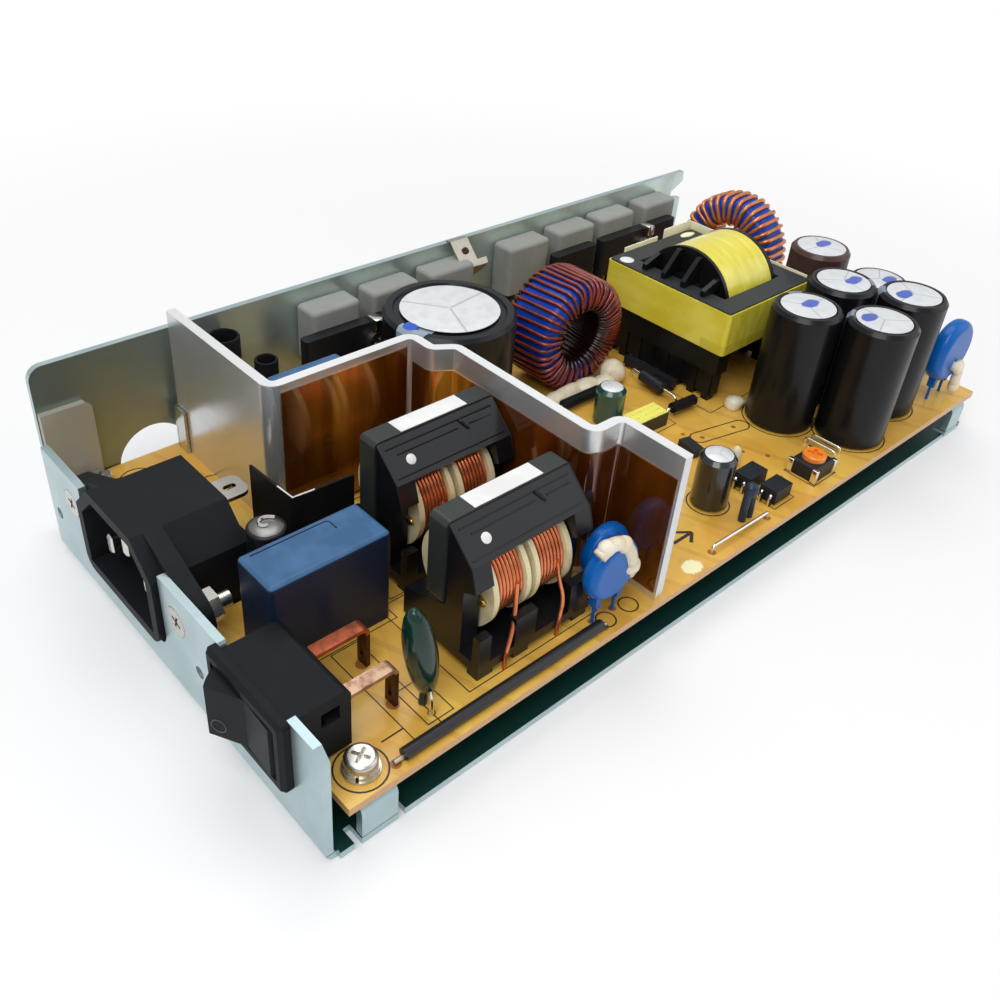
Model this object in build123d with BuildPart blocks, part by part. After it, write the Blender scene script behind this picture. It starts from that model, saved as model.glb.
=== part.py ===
import os

from build123d import *

# Chassis sheet metal
sheet = 1.5
base_length = 201.4
base_width = 101.6
wall_inner = base_width - sheet
wall_height = 38.4
wall_left = 2.3
wall_end = 200.4
plate_height = 25.0
plate_near = 0.7
plate_far = base_width - 7.4
bend_radius = 1.5

# Circuit board
board_left = 4.1
board_right = 202.3
board_near = 0.1
board_far = base_width - 1.8
board_top = 10.4
board_thickness = 1.6
board_under = board_top - board_thickness
seat_gap = 0.1

# Board screws, along and across
screw_spots = [(9.9, 5.0), (9.9, base_width - 7.1), (197.0, base_width - 7.1)]
screw_shaft_r = 1.45
screw_head_r = 2.75
screw_head_height = 2.0
screw_hole_r = 1.6
flat_washer_r = 3.2
flat_washer_height = 0.5
spring_washer_r = 3.0
spring_washer_height = 0.8
tab_reach = 9.5

# Mains inlet
inlet_across = 62.8
inlet_low = 8.2
inlet_width = 28.4
inlet_height = 20.8
inlet_chamfer = 6.0
inlet_wall = 2.1
inlet_front = -1.0
inlet_flange_back = 5.0
inlet_body_back = 17.5
inlet_socket_floor = 15.0
inlet_screw_pitch = 40.0
inlet_screw_height = 18.4
inlet_pin_height = 16.6
inlet_notch_margin = 0.7
nut_flats = 5.5
nut_height = 2.4

# Rocker switch
switch_across = 18.8
switch_height = 17.5
switch_body_width = 18.8
switch_body_height = 12.8
switch_body_back = 11.4
bezel_width = 21.0
bezel_height = 15.0
bezel_depth = 2.0
hinge_depth = 1.5
rocker_radius = 8.5
rocker_clearance = 0.3
rocker_half_height = 5.3
rocker_rest_angle = 13.0
rocker_pin_r = 1.0
rocker_pin_clearance = 0.06

# Input heat sink
sink_thickness = 2.0
sink_top = 43.4
sink_path = [
    (31.7, base_width - 3.6), (31.7, 61.7), (64.6, 61.7), (64.6, 55.5),
    (68.9, 52.8), (68.9, 16.2), (76.2, 16.2), (76.2, 0.9),
]
film_thickness = 0.2
film_offset = 1.15

# Common mode chokes
choke_length = 28.3
choke_bar = 4.4
choke_depth = 4.2
choke_low = 21.8
choke_top = 39.5
choke_axis_height = 24.0
spool_flange_r = 9.4
choke_winding_r = 8.7
near_choke_spot = (35.0, 18.1)
far_choke_spot = (39.0, 42.3)

# Capacitors
bulk_spot = (86.1, base_width - 27.0)
bulk_r = 15.0
bulk_top = 37.4
tall_output_spots = [(168.3, 26.8), (176.1, 12.7), (149.4, 24.2), (157.7, 9.9)]
output_cap_r = 8.0
output_cap_top = 40.5

# Transformer
trafo_left = 140.0
trafo_right = 172.5
trafo_near = 37.5
trafo_far = 75.0
trafo_low = 24.0
trafo_high = 35.5
trafo_back = 5.0
trafo_leg = 5.5
drum_r = 13.0
drum_height = 29.8
centre_leg_r = 5.5
bobbin_wall = 1.0

# Toroids
boost_across = (62.0, 78.0)
boost_along = 119.3
boost_height = 24.6
boost_r = 14.3
boost_hole_r = 6.8
output_toroid_along = (185.2, 196.8)
output_toroid_across = 0.8 * base_width - 8.9
output_toroid_height = 27.2
output_toroid_r = 15.0
output_toroid_hole_r = 7.0

# Wall devices
boot_spans = [
    (62.3, 75.6), (79.2, 93.0), (96.5, 110.5), (122.7, 137.0),
    (140.8, 154.6), (157.2, 171.0), (175.3, 189.0),
]
boot_low = 22.0
boot_top = 35.0
boot_depth = 7.0
boot_skin = 1.3
clamp_spans = [(58.4, 80.9), (136.8, 152.3), (155.0, 186.0)]
clamp_low = 20.0
clamp_top = 30.5
clamp_thickness = 3.0
wall_screw_spots = [(77.3, 25.4), (173.2, 25.4)]
wall_screw_head = 1.5

# Trimmer
trimmer_spot = (136.2, 6.5)
trimmer_body_top = 14.2
rotor_top = 15.5
rotor_r = 2.65
rotor_shaft_r = 1.2
rotor_clearance = 0.05

# Shared frames: along the base, across it, and up from its underside
FLOOR = Plane(origin=(-base_length / 2, -base_width / 2, 0))
BOARD = FLOOR.offset(board_top)


def facing_right(along):
    return Plane(
        origin=(along - base_length / 2, -base_width / 2, 0),
        x_dir=(0, 1, 0),
        z_dir=(1, 0, 0),
    )


def facing_near(across):
    return Plane(
        origin=(-base_length / 2, across - base_width / 2, 0),
        x_dir=(1, 0, 0),
        z_dir=(0, -1, 0),
    )


# Chassis: a tray bent up at the far side and the left end, with lanced tabs
def make_chassis():
    half = sheet / 2
    with BuildPart() as chassis:
        # Base and wall as one bent strip
        with BuildSketch(facing_right(wall_left)):
            with BuildLine():
                FilletPolyline(
                    (0, half), (base_width - half, half), (base_width - half, wall_height),
                    radius=bend_radius,
                )
            trace(line_width=sheet)
        extrude(amount=wall_end - wall_left)
        # Front plate with its own bend
        with BuildSketch(facing_near(plate_far)):
            with BuildLine():
                FilletPolyline((half, plate_height), (half, half), (4, half), radius=bend_radius)
            trace(line_width=sheet)
        extrude(amount=plate_far - plate_near)
        # Base lip past the end of the wall
        with BuildSketch(FLOOR):
            with Locations((wall_end - 1, 0)):
                Rectangle(base_length - wall_end + 1, 97, align=(Align.MIN, Align.MIN))
        extrude(amount=sheet)
        near_corner = chassis.edges().filter_by(Axis.Z).group_by(Axis.X)[-1].sort_by(Axis.Y)[0]
        fillet(near_corner, radius=0.9)
        # Corner tab lying inside the wall
        with BuildSketch(facing_near(wall_inner)):
            with BuildLine():
                Polyline(
                    (wall_left + 0.2, 3), (11, 3), (12.9, 5), (12.9, 27.2), (11.6, 28.5), (wall_left + 0.2, 28.5),
                    close=True,
                )
            make_face()
        extrude(amount=sheet)
        # Outline cuts in the wall
        with BuildSketch(facing_near(base_width + 1)):
            with BuildLine():
                Polyline(
                    (wall_end + 1, 30.3), (wall_end - 0.4, 30.3), (wall_end - 4.8, 31.1),
                    (wall_end - 4.8, 33.0), (wall_end, 35.4), (wall_end - 0.4, 39), (wall_end + 1, 39),
                    close=True,
                )
            make_face()
            with Locations((25, 9)):
                Circle(8)
        extrude(amount=sheet + 1.2, mode=Mode.SUBTRACT)
        wall_corner = chassis.edges().filter_by(Axis.Y).group_by(Axis.Z)[-1].sort_by(Axis.X)[0]
        fillet(wall_corner, radius=3)
        # Openings of the front plate
        with BuildSketch(facing_right(-1)):
            notch_half = inlet_width / 2 + inlet_notch_margin
            with BuildLine():
                FilletPolyline(
                    (inlet_across - notch_half, 30), (inlet_across - notch_half, inlet_low - 0.1),
                    (inlet_across + notch_half, inlet_low - 0.1), (inlet_across + notch_half, 30),
                    radius=3, close=False,
                )
                Line((inlet_across + notch_half, 30), (inlet_across - notch_half, 30))
            make_face()
            switch_half = switch_body_width / 2 + 0.1
            with BuildLine():
                Polyline(
                    (switch_across - switch_half, 10.8), (switch_across + switch_half, 10.8),
                    (switch_across + switch_half, 24.4), (switch_across + switch_half + 2.5, 30),
                    (switch_across - switch_half, 30), close=True,
                )
            make_face()
            with BuildLine():
                Polyline((plate_near - 1, plate_height - 2), (plate_near, plate_height - 2),
                         (plate_near + 2, plate_height), (plate_near + 2, 30), (plate_near - 1, 30), close=True)
            make_face()
            with Locations((base_width - 10.7, 11.0), (36.2, 11.9)):
                Circle(1.25)
        extrude(amount=sheet + 1.2, mode=Mode.SUBTRACT)
        # Countersunk holes of the inlet
        with BuildSketch(facing_right(-0.01)):
            with Locations(*inlet_screw_centres()):
                Circle(2.95)
        extrude(amount=1.3, taper=45, mode=Mode.SUBTRACT)
        with BuildSketch(facing_right(-1)):
            with Locations(*inlet_screw_centres()):
                Circle(screw_hole_r)
        extrude(amount=4, mode=Mode.SUBTRACT)
        # Relief cuts beside the near tabs
        with BuildSketch(FLOOR.offset(-1)):
            with Locations((5.6, 1.2), (14.2, 1.2), (192.4, 1.2), (200.2, 1.2)):
                Rectangle(1.4, 4)
        extrude(amount=4, mode=Mode.SUBTRACT)
        # Near tabs bent up from the base and in under the board
        with BuildSketch(facing_right(screw_spots[0][0] - 3.5)):
            with BuildLine():
                FilletPolyline((half, half), (half, board_under - half), (tab_reach, board_under - half), radius=1.4)
            trace(line_width=sheet)
        extrude(amount=7)
        with BuildSketch(facing_right(193.2)):
            with BuildLine():
                FilletPolyline((half, half), (half, board_under - half), (tab_reach - 3, board_under - half), radius=1.4)
            trace(line_width=sheet)
        extrude(amount=6.2)
        # Far tabs bent in from the wall
        for along, across in screw_spots[1:]:
            with BuildSketch(FLOOR.offset(board_under - sheet)):
                with Locations((along, base_width - 5.9)):
                    Rectangle(7 if along > 100 else 8, 11.2)
            extrude(amount=sheet)
        with BuildSketch(FLOOR.offset(board_under - sheet - 1)):
            with Locations(*screw_spots):
                Circle(screw_shaft_r + 0.05)
        extrude(amount=sheet + 2, mode=Mode.SUBTRACT)
        # Holes for the screws of the clamp bars
        with BuildSketch(facing_near(base_width + 1)):
            with Locations(*wall_screw_spots):
                Circle(screw_shaft_r + 0.05)
        extrude(amount=sheet + 2, mode=Mode.SUBTRACT)
    chassis.part.label = "chassis"
    export_step(chassis.part, "parts/chassis.step")


def inlet_screw_centres():
    half = inlet_screw_pitch / 2
    return [(inlet_across - half, inlet_screw_height), (inlet_across + half, inlet_screw_height)]


# Circuit board with cut-outs for the inlet and the corner tab
def make_circuit_board():
    with BuildPart() as board:
        with BuildSketch(FLOOR.offset(board_under)):
            with Locations((board_left, board_near)):
                Rectangle(board_right - board_left, board_far - board_near, align=(Align.MIN, Align.MIN))
            with Locations((board_left, base_width - 3.3)):
                Rectangle(9.3, 3, align=(Align.MIN, Align.MIN), mode=Mode.SUBTRACT)
            with Locations((board_left, 38)):
                Rectangle(1.3, 50, align=(Align.MIN, Align.MIN), mode=Mode.SUBTRACT)
            with Locations((board_left, inlet_across)):
                Rectangle(
                    inlet_body_back + 0.3 - board_left, inlet_width + 0.6,
                    align=(Align.MIN, Align.CENTER), mode=Mode.SUBTRACT,
                )
            with Locations(*screw_spots):
                Circle(screw_hole_r, mode=Mode.SUBTRACT)
        extrude(amount=board_thickness)
    board.part.label = "circuit_board"
    export_step(board.part, "parts/circuit_board.step")


# Pan head screws with a cross recess
def make_board_screws():
    head_low = flat_washer_height + spring_washer_height
    with BuildPart() as screws:
        with BuildSketch(BOARD.offset(head_low)):
            with Locations(*screw_spots):
                Circle(screw_head_r)
        extrude(amount=screw_head_height)
        fillet(screws.edges().filter_by(GeomType.CIRCLE).group_by(Axis.Z)[-1], radius=0.7)
        with BuildSketch(BOARD.offset(head_low + screw_head_height)):
            with Locations(*screw_spots):
                Rectangle(3.2, 0.7, rotation=30)
                Rectangle(0.7, 3.2, rotation=30)
        extrude(amount=-1.1, mode=Mode.SUBTRACT)
        with BuildSketch(BOARD.offset(head_low)):
            with Locations(*screw_spots):
                Circle(screw_shaft_r)
        extrude(amount=-(head_low + board_thickness + sheet + 0.8))
    screws.part.label = "board_screws"
    export_step(screws.part, "parts/board_screws.step")


# Flat washers, and split spring washers above them
def make_board_washers():
    with BuildPart() as flats:
        with BuildSketch(BOARD):
            with Locations(*screw_spots):
                Circle(flat_washer_r)
                Circle(screw_hole_r, mode=Mode.SUBTRACT)
        extrude(amount=flat_washer_height)
    flats.part.label = "flat_washers"
    export_step(flats.part, "parts/flat_washers.step")
    with BuildPart() as springs:
        with BuildSketch(BOARD.offset(flat_washer_height)):
            with Locations(*screw_spots):
                Circle(spring_washer_r)
                Circle(screw_hole_r, mode=Mode.SUBTRACT)
            with Locations(*[(along - 1.6, across - 1.6) for along, across in screw_spots]):
                Rectangle(3.4, 0.5, rotation=35, mode=Mode.SUBTRACT)
        extrude(amount=spring_washer_height)
    springs.part.label = "spring_washers"
    export_step(springs.part, "parts/spring_washers.step")


# Outline of the inlet, chamfered at both upper corners
def inlet_points(inset):
    half = inlet_width / 2 - inset
    low = inlet_low + inset
    high = inlet_low + inlet_height - inset
    cut = inlet_chamfer - inset * 0.5
    return [
        (inlet_across - half, low), (inlet_across + half, low), (inlet_across + half, high - cut),
        (inlet_across + half - cut, high), (inlet_across - half + cut, high),
        (inlet_across - half, high - cut),
    ]


def make_inlet():
    with BuildPart() as housing:
        with BuildSketch(facing_right(inlet_front)):
            with BuildLine():
                Polyline(*inlet_points(0), close=True)
            make_face()
        extrude(amount=inlet_body_back - inlet_front)
        shroud_edges = housing.edges().filter_by(Axis.X).group_by(Axis.Z)[0]
        fillet(shroud_edges, radius=3)
        with BuildSketch(facing_right(sheet)):
            with BuildLine():
                Polyline(*inlet_points(0), close=True)
            make_face()
            with Locations(*inlet_screw_centres()):
                Circle(4.6)
            make_hull()
            with Locations(*inlet_screw_centres()):
                Circle(screw_hole_r, mode=Mode.SUBTRACT)
        extrude(amount=inlet_flange_back - sheet)
        with BuildSketch(facing_right(inlet_front)):
            with BuildLine():
                Polyline(*inlet_points(inlet_wall), close=True)
            make_face()
        extrude(amount=inlet_socket_floor - inlet_front, mode=Mode.SUBTRACT)
        # Stepped rear cover over the terminals
        with BuildSketch(facing_right(inlet_body_back)):
            with Locations((inlet_across - 3, 16)):
                Rectangle(18, 11)
        extrude(amount=2.2)
    housing.part.label = "inlet_housing"
    export_step(housing.part, "parts/inlet_housing.step")

    with BuildPart() as pins:
        with BuildSketch(facing_right(inlet_socket_floor)):
            with Locations((inlet_across - 7, inlet_pin_height), (inlet_across + 7, inlet_pin_height),
                           (inlet_across, inlet_pin_height + 4)):
                RectangleRounded(2, 4, 0.6)
        extrude(amount=-14)
        chamfer(pins.faces().sort_by(Axis.X)[:3].edges(), length=0.35)
    pins.part.label = "inlet_pins"
    export_step(pins.part, "parts/inlet_pins.step")

    with BuildPart() as lug:
        with BuildSketch(FLOOR.offset(25.6)) as outline:
            with Locations((inlet_body_back, 60.2)):
                Rectangle(6.5, 6.3, align=(Align.MIN, Align.CENTER))
            fillet(outline.vertices().group_by(Axis.X)[-1], radius=2)
            with Locations((inlet_body_back + 3.6, 60.2)):
                SlotOverall(2.6, 1.4, mode=Mode.SUBTRACT)
        extrude(amount=0.8)
    lug.part.label = "inlet_earth_lug"
    export_step(lug.part, "parts/inlet_earth_lug.step")

    # Countersunk screws through the plate and the flange
    with BuildPart() as screws:
        with BuildSketch(facing_right(0)):
            with Locations(*inlet_screw_centres()):
                Circle(2.8)
        extrude(amount=1.3, taper=45)
        with BuildSketch(facing_right(1.0)):
            with Locations(*inlet_screw_centres()):
                Circle(screw_shaft_r)
        extrude(amount=9)
        with BuildSketch(facing_right(0)):
            with Locations(*inlet_screw_centres()):
                Rectangle(2.8, 0.6, rotation=20)
                Rectangle(0.6, 2.8, rotation=20)
        extrude(amount=0.8, mode=Mode.SUBTRACT)
    screws.part.label = "inlet_screws"
    export_step(screws.part, "parts/inlet_screws.step")

    with BuildPart() as nuts:
        with BuildSketch(facing_right(inlet_flange_back)):
            with Locations(*inlet_screw_centres()):
                RegularPolygon(nut_flats / 2, 6, major_radius=False)
                Circle(screw_shaft_r + 0.05, mode=Mode.SUBTRACT)
        extrude(amount=nut_height)
    nuts.part.label = "inlet_nuts"
    export_step(nuts.part, "parts/inlet_nuts.step")


# Rocker switch housing with its bezel, pocket and hinge holes
def make_switch():
    pocket_half = rocker_radius + rocker_clearance
    pocket_height = 2 * (rocker_half_height + rocker_clearance)
    pocket_floor = 7.1
    with BuildPart() as housing:
        with BuildSketch(facing_right(0)):
            with Locations((switch_across, switch_height)):
                Rectangle(switch_body_width, switch_body_height)
        extrude(amount=switch_body_back)
        chamfer(housing.edges().filter_by(Axis.Y).group_by(Axis.X)[-1].sort_by(Axis.Z)[-1], length=1.2)
        with BuildSketch(facing_right(0)):
            with Locations((switch_across, switch_height)):
                RectangleRounded(bezel_width, bezel_height, 0.8)
        extrude(amount=-bezel_depth)
        bezel_rim = housing.faces().sort_by(Axis.X)[0].outer_wire().edges()
        chamfer(bezel_rim, length=0.7)
        with BuildSketch(facing_right(-bezel_depth)):
            with Locations((switch_across, switch_height)):
                Rectangle(2 * pocket_half, pocket_height)
        extrude(amount=bezel_depth + pocket_floor, mode=Mode.SUBTRACT)
        # Hinge holes above and below the pocket
        with BuildSketch(FLOOR.offset(switch_height - pocket_height / 2 - 0.7)):
            with Locations((hinge_depth, switch_across)):
                Circle(rocker_pin_r + rocker_pin_clearance)
        extrude(amount=pocket_height + 1.4, mode=Mode.SUBTRACT)
        # Side windows, snap ribs and the rear foot
        with BuildSketch(facing_near(switch_across)):
            with Locations((7.6, 20)):
                Rectangle(3.4, 3)
        extrude(amount=switch_body_width / 2, mode=Mode.SUBTRACT)
        with BuildSketch(facing_right(switch_body_back)):
            with Locations((switch_across + 1.1, 15.2)):
                Rectangle(11, 8)
        extrude(amount=1.6)
        with BuildSketch(BOARD):
            with Locations((8.2, switch_across - 6), (8.2, switch_across + 6)):
                Rectangle(4, 2.4)
        extrude(amount=1.2)
    housing.part.label = "switch_housing"
    export_step(housing.part, "parts/switch_housing.step")

    # Rocker, turned to its rest side about the hinge pins
    tip = (6.6, 5.35)
    with BuildPart() as rocker:
        with BuildSketch(Plane.XY.offset(-rocker_half_height)):
            with BuildLine():
                Line((-tip[0], tip[1]), (0, 3.5))
                Line((0, 3.5), tip)
                ThreePointArc(tip, (8.45, 0.92), (8.2, -2.2))
                Polyline((8.2, -2.2), (3, -4.4), (-3, -4.4), (-8.2, -2.2))
                ThreePointArc((-8.2, -2.2), (-8.45, 0.92), (-tip[0], tip[1]))
            make_face()
        extrude(amount=2 * rocker_half_height)
        with BuildSketch(Plane.XY.offset(-rocker_half_height - 0.8)):
            Circle(rocker_pin_r)
        extrude(amount=2 * rocker_half_height + 1.6)
    turned = Rot(0, 0, 90 + rocker_rest_angle) * rocker.part
    hinge = FLOOR.location * Pos(hinge_depth, switch_across, switch_height)
    turned = hinge * turned
    turned.label = "switch_rocker"
    export_step(turned, "parts/switch_rocker.step")

    # Copper strips from the rear of the switch down to the board
    with BuildPart() as terminals:
        for across, start, foot, top in ((22.4, 13.0, 23.4, 19.4), (12.6, 11.4, 21.8, 19.0)):
            with BuildSketch(facing_near(across + 1.3)):
                with BuildLine():
                    FilletPolyline((start, top), (foot, top), (foot, board_top), radius=1)
                trace(line_width=0.8)
            extrude(amount=2.6)
            with BuildSketch(facing_right(foot - 0.4)):
                with Locations((across, (board_top + top) / 2 - 1)):
                    Rectangle(0.9, 3.4)
            extrude(amount=0.8, mode=Mode.SUBTRACT)
    terminals.part.label = "switch_terminals"
    export_step(terminals.part, "parts/switch_terminals.step")


# Bent aluminium strip standing on the board
def make_heat_sink():
    with BuildPart() as plate:
        with BuildSketch(BOARD):
            with BuildLine():
                FilletPolyline(*sink_path, radius=[2, 2, 1.6, 1.6, 2, 2])
            trace(line_width=sink_thickness)
        extrude(amount=sink_top - board_top)
        # Feet: the lower edge is cut back between them
        with BuildSketch(facing_near(70)):
            with Locations((48.5, board_top)):
                Rectangle(24, 3)
        extrude(amount=12, mode=Mode.SUBTRACT)
        with BuildSketch(facing_right(66)):
            with Locations((34.5, board_top)):
                Rectangle(26, 3)
        extrude(amount=6, mode=Mode.SUBTRACT)
    plate.part.label = "heat_sink_plate"
    export_step(plate.part, "parts/heat_sink_plate.step")

    # Insulating film on the inner faces, in two heights
    near = film_offset
    film_long = [(sink_path[1][0] + 1.6, sink_path[1][1] - near), (sink_path[2][0] - 2, sink_path[2][1] - near)]
    film_low = [(sink_path[3][0] - near, sink_path[2][1] - 2), (sink_path[3][0] - near, 54.9),
                (sink_path[4][0] - near, 52.2), (sink_path[5][0] - near, sink_path[5][1] - near),
                (sink_path[6][0] - near, sink_path[6][1] - near), (sink_path[7][0] - near, 1.4)]
    with BuildPart() as film:
        with BuildSketch(BOARD.offset(1.8)):
            with BuildLine():
                Line(*film_long)
            trace(line_width=film_thickness)
        extrude(amount=29.6)
        with BuildSketch(BOARD.offset(1.8)):
            with BuildLine():
                FilletPolyline(*film_low, radius=[2.7, 0.5, 3.1, 0.9])
            trace(line_width=film_thickness)
        extrude(amount=26.4)
    film.part.label = "insulating_film"
    export_step(film.part, "parts/insulating_film.step")

    # Clip holding the free end of the strip
    with BuildPart() as clip:
        with BuildSketch(BOARD):
            with Locations((33.05, base_width - 5.4), (30.25, base_width - 5.4)):
                Rectangle(0.6, 3.4)
            with Locations((31.65, base_width - 3.3)):
                Rectangle(3.4, 0.5)
        extrude(amount=10.5)
    clip.part.label = "heat_sink_clip"
    export_step(clip.part, "parts/heat_sink_clip.step")


# Box capacitors with rounded edges
def make_box_capacitor(name, low, high, top, round_r):
    with BuildPart() as box:
        with BuildSketch(BOARD.offset(seat_gap)):
            with Locations(((low[0] + high[0]) / 2, (low[1] + high[1]) / 2)):
                Rectangle(high[0] - low[0], high[1] - low[1])
        extrude(amount=top - board_top - seat_gap)
        fillet(box.edges().filter_by(Axis.Z), radius=round_r)
        fillet(box.faces().sort_by(Axis.Z)[-1].edges(), radius=round_r)
        # Standing feet under the box
        with BuildSketch(BOARD):
            with GridLocations(high[0] - low[0] - 4, high[1] - low[1] - 4, 2, 2):
                with Locations(((low[0] + high[0]) / 2, (low[1] + high[1]) / 2)):
                    Circle(0.9)
        extrude(amount=seat_gap)
    box.part.label = name
    export_step(box.part, "parts/" + name + ".step")


# Upright fuse body with a metal cap, and the insulating sheet beside it
def make_fuse():
    spot = (19.4, 44.9)
    with BuildPart() as body:
        with BuildSketch(BOARD):
            with Locations(spot):
                Circle(3.6)
        extrude(amount=17.6)
        fillet(body.edges().filter_by(GeomType.CIRCLE).group_by(Axis.Z)[-1], radius=0.6)
        with BuildSketch(BOARD.offset(15.2)):
            with Locations(spot):
                Circle(3.8)
                Circle(3.4, mode=Mode.SUBTRACT)
        extrude(amount=0.4, mode=Mode.SUBTRACT)
    body.part.label = "line_fuse"
    export_step(body.part, "parts/line_fuse.step")
    with BuildPart() as shield:
        with BuildSketch(BOARD):
            with BuildLine():
                FilletPolyline((25.3, 59.4), (26.0, 46.5), (38.6, 45.8), radius=1)
            trace(line_width=0.5)
        extrude(amount=19.6)
    shield.part.label = "insulating_sheet"
    export_step(shield.part, "parts/insulating_sheet.step")


# Common mode choke: closed core, spool on the lower bar, winding and frame
def make_choke(name, spot):
    left, middle = spot
    right = left + choke_length
    spool_left = left + 5.0
    spool_right = left + 23.6
    with BuildPart() as core:
        with BuildSketch(facing_near(middle + choke_depth / 2)):
            with Locations(((left + right) / 2, (choke_low + choke_top) / 2)):
                RectangleRounded(choke_length, choke_top - choke_low, 1.2)
                Rectangle(choke_length - 2 * choke_bar, choke_top - choke_low - 2 * choke_bar, mode=Mode.SUBTRACT)
        extrude(amount=choke_depth)
    core.part.label = name + "_core"
    export_step(core.part, "parts/" + name + "_core.step")

    with BuildPart() as spool:
        with BuildSketch(facing_right(spool_left)):
            with Locations((middle, choke_axis_height)):
                Circle(4.0)
        extrude(amount=spool_right - spool_left)
        for along, width in ((spool_left, 1.2), (left + 12.6, 1.0), (left + 14.8, 1.0), (spool_right - 1.2, 1.2)):
            with BuildSketch(facing_right(along)):
                with Locations((middle, choke_axis_height)):
                    Circle(spool_flange_r)
            extrude(amount=width)
        with BuildSketch(facing_right(spool_left - 1)):
            with Locations((middle, choke_axis_height)):
                Rectangle(choke_depth + 0.4, choke_bar + 0.4)
        extrude(amount=spool_right - spool_left + 2, mode=Mode.SUBTRACT)
    spool.part.label = name + "_spool"
    export_step(spool.part, "parts/" + name + "_spool.step")

    with BuildPart() as winding:
        for along, width in ((spool_left + 1.3, 6.2), (left + 15.9, 6.4)):
            with BuildSketch(facing_right(along)):
                with Locations((middle, choke_axis_height)):
                    Circle(choke_winding_r)
                    Circle(4.1, mode=Mode.SUBTRACT)
            extrude(amount=width)
    winding.part.label = name + "_winding"
    export_step(winding.part, "parts/" + name + "_winding.step")

    # Frame: foot plate, near legs and a sloping hood up to the top bar
    face = middle - choke_depth / 2 - 0.1
    with BuildPart() as frame:
        with BuildSketch(BOARD.offset(1.6)):
            with Locations(((left + right) / 2, middle - 1.4)):
                Rectangle(choke_length - 1, 20)
        extrude(amount=2)
        with BuildSketch(BOARD):
            for along in (left + 2.5, left + 11, right - 2.5):
                with Locations((along, middle - 9.8), (along, middle + 7.0)):
                    Rectangle(3.6, 2.6)
        extrude(amount=1.6)
        with BuildSketch(BOARD.offset(1.6)):
            with Locations((left + 1.8, middle - 10.5)):
                Rectangle(2.6, 1.8)
            with Locations((left + 11.3, middle - 10.5), (right - 3.6, middle - 10.5)):
                Rectangle(5, 1.8)
        extrude(amount=8)
        for along in (left + 0.5, right - 4.4):
            with BuildSketch(facing_right(along)):
                with BuildLine():
                    Polyline(
                        (face, choke_top - 0.4), (middle - 8.2, 33.6), (middle - 9.6, 29.2), (middle - 6.6, 27.6),
                        (middle - 6.6, 12.2), (face, 12.2), close=True,
                    )
                make_face()
                with BuildLine():
                    Polyline(
                        (face, choke_low - 0.1), (middle + 8.6, choke_low - 4),
                        (middle + 8.6, 12.2), (face, 12.2), close=True,
                    )
                make_face()
            extrude(amount=3.9)
        with BuildSketch(facing_right(left + 0.5)):
            with BuildLine():
                Polyline(
                    (face, choke_top - 0.4), (middle - 8.2, 33.6), (middle - 7.6, 32.6), (face, choke_top - 3.0),
                    close=True,
                )
            make_face()
        extrude(amount=choke_length - 1)
    frame.part.label = name + "_frame"
    export_step(frame.part, "parts/" + name + "_frame.step")


# Dipped part leaning over on its two leads
def make_dipped_part():
    with BuildPart() as body:
        with BuildSketch(Plane.XY):
            RectangleRounded(4.6, 7.2, 2.25)
        extrude(amount=17)
        fillet(body.edges().group_by(Axis.Z)[-1] + body.edges().group_by(Axis.Z)[0], radius=2.1)
    leaning = FLOOR.location * Pos(26.6, 9.2, 15.4) * Rot(0, -12, 0) * body.part
    with BuildPart() as leads:
        for across in (6.7, 11.6):
            with BuildLine(facing_near(across)) as path:
                Line((25.5, board_top + seat_gap), (26.4, 15.2))
            with BuildSketch(Plane(origin=path.line @ 0, z_dir=path.line % 0)):
                Circle(0.4)
            sweep(path=path.line)
    dipped = leaning + leads.part
    dipped.label = "dipped_part"
    export_step(dipped, "parts/dipped_part.step")


# Radial capacitors in sleeves, with a rolled rim around the top disc
def cylinder_capacitor(cap_r, top, rim=1.4, dip=0.5):
    with BuildPart() as can:
        with BuildSketch(Plane.XZ):
            with BuildLine():
                Polyline(
                    (0, 0), (cap_r - 0.8, 0), (cap_r, 0.8), (cap_r, top - 0.9), (cap_r - 0.7, top),
                    (cap_r - rim, top), (cap_r - rim - 0.3, top - dip), (0, top - dip), close=True,
                )
            make_face()
        revolve(axis=Axis.Z)
    return can.part


# Places one capacitor on the board and writes it out
def seat_capacitor(name, can, spot):
    seated = BOARD.location * Pos(*spot) * can
    seated.label = name
    export_step(seated, "parts/" + name + ".step")


def make_capacitors():
    seat_capacitor("bulk_capacitor", cylinder_capacitor(bulk_r, bulk_top - board_top, rim=2.2), bulk_spot)
    tall = cylinder_capacitor(output_cap_r, output_cap_top - board_top)
    output = Compound(
        label="output_capacitors",
        children=[BOARD.location * Pos(*spot) * tall for spot in tall_output_spots]
        + [BOARD.location * Pos(190.8, 28.3) * cylinder_capacitor(7.4, 34.2 - board_top)],
    )
    export_step(output, "parts/output_capacitors.step")
    seat_capacitor("brown_output_capacitor", cylinder_capacitor(7.4, output_cap_top - board_top), (181.8, 41.4))
    small = Compound(
        label="small_capacitors",
        children=[
            BOARD.location * Pos(108.1, 13.6) * cylinder_capacitor(4.0, 23.1 - board_top, 0.8, 0.3),
            BOARD.location * Pos(114.2, 48.3) * cylinder_capacitor(3.5, 20.0 - board_top, 0.8, 0.3),
        ],
    )
    export_step(small, "parts/small_capacitors.step")


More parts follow.
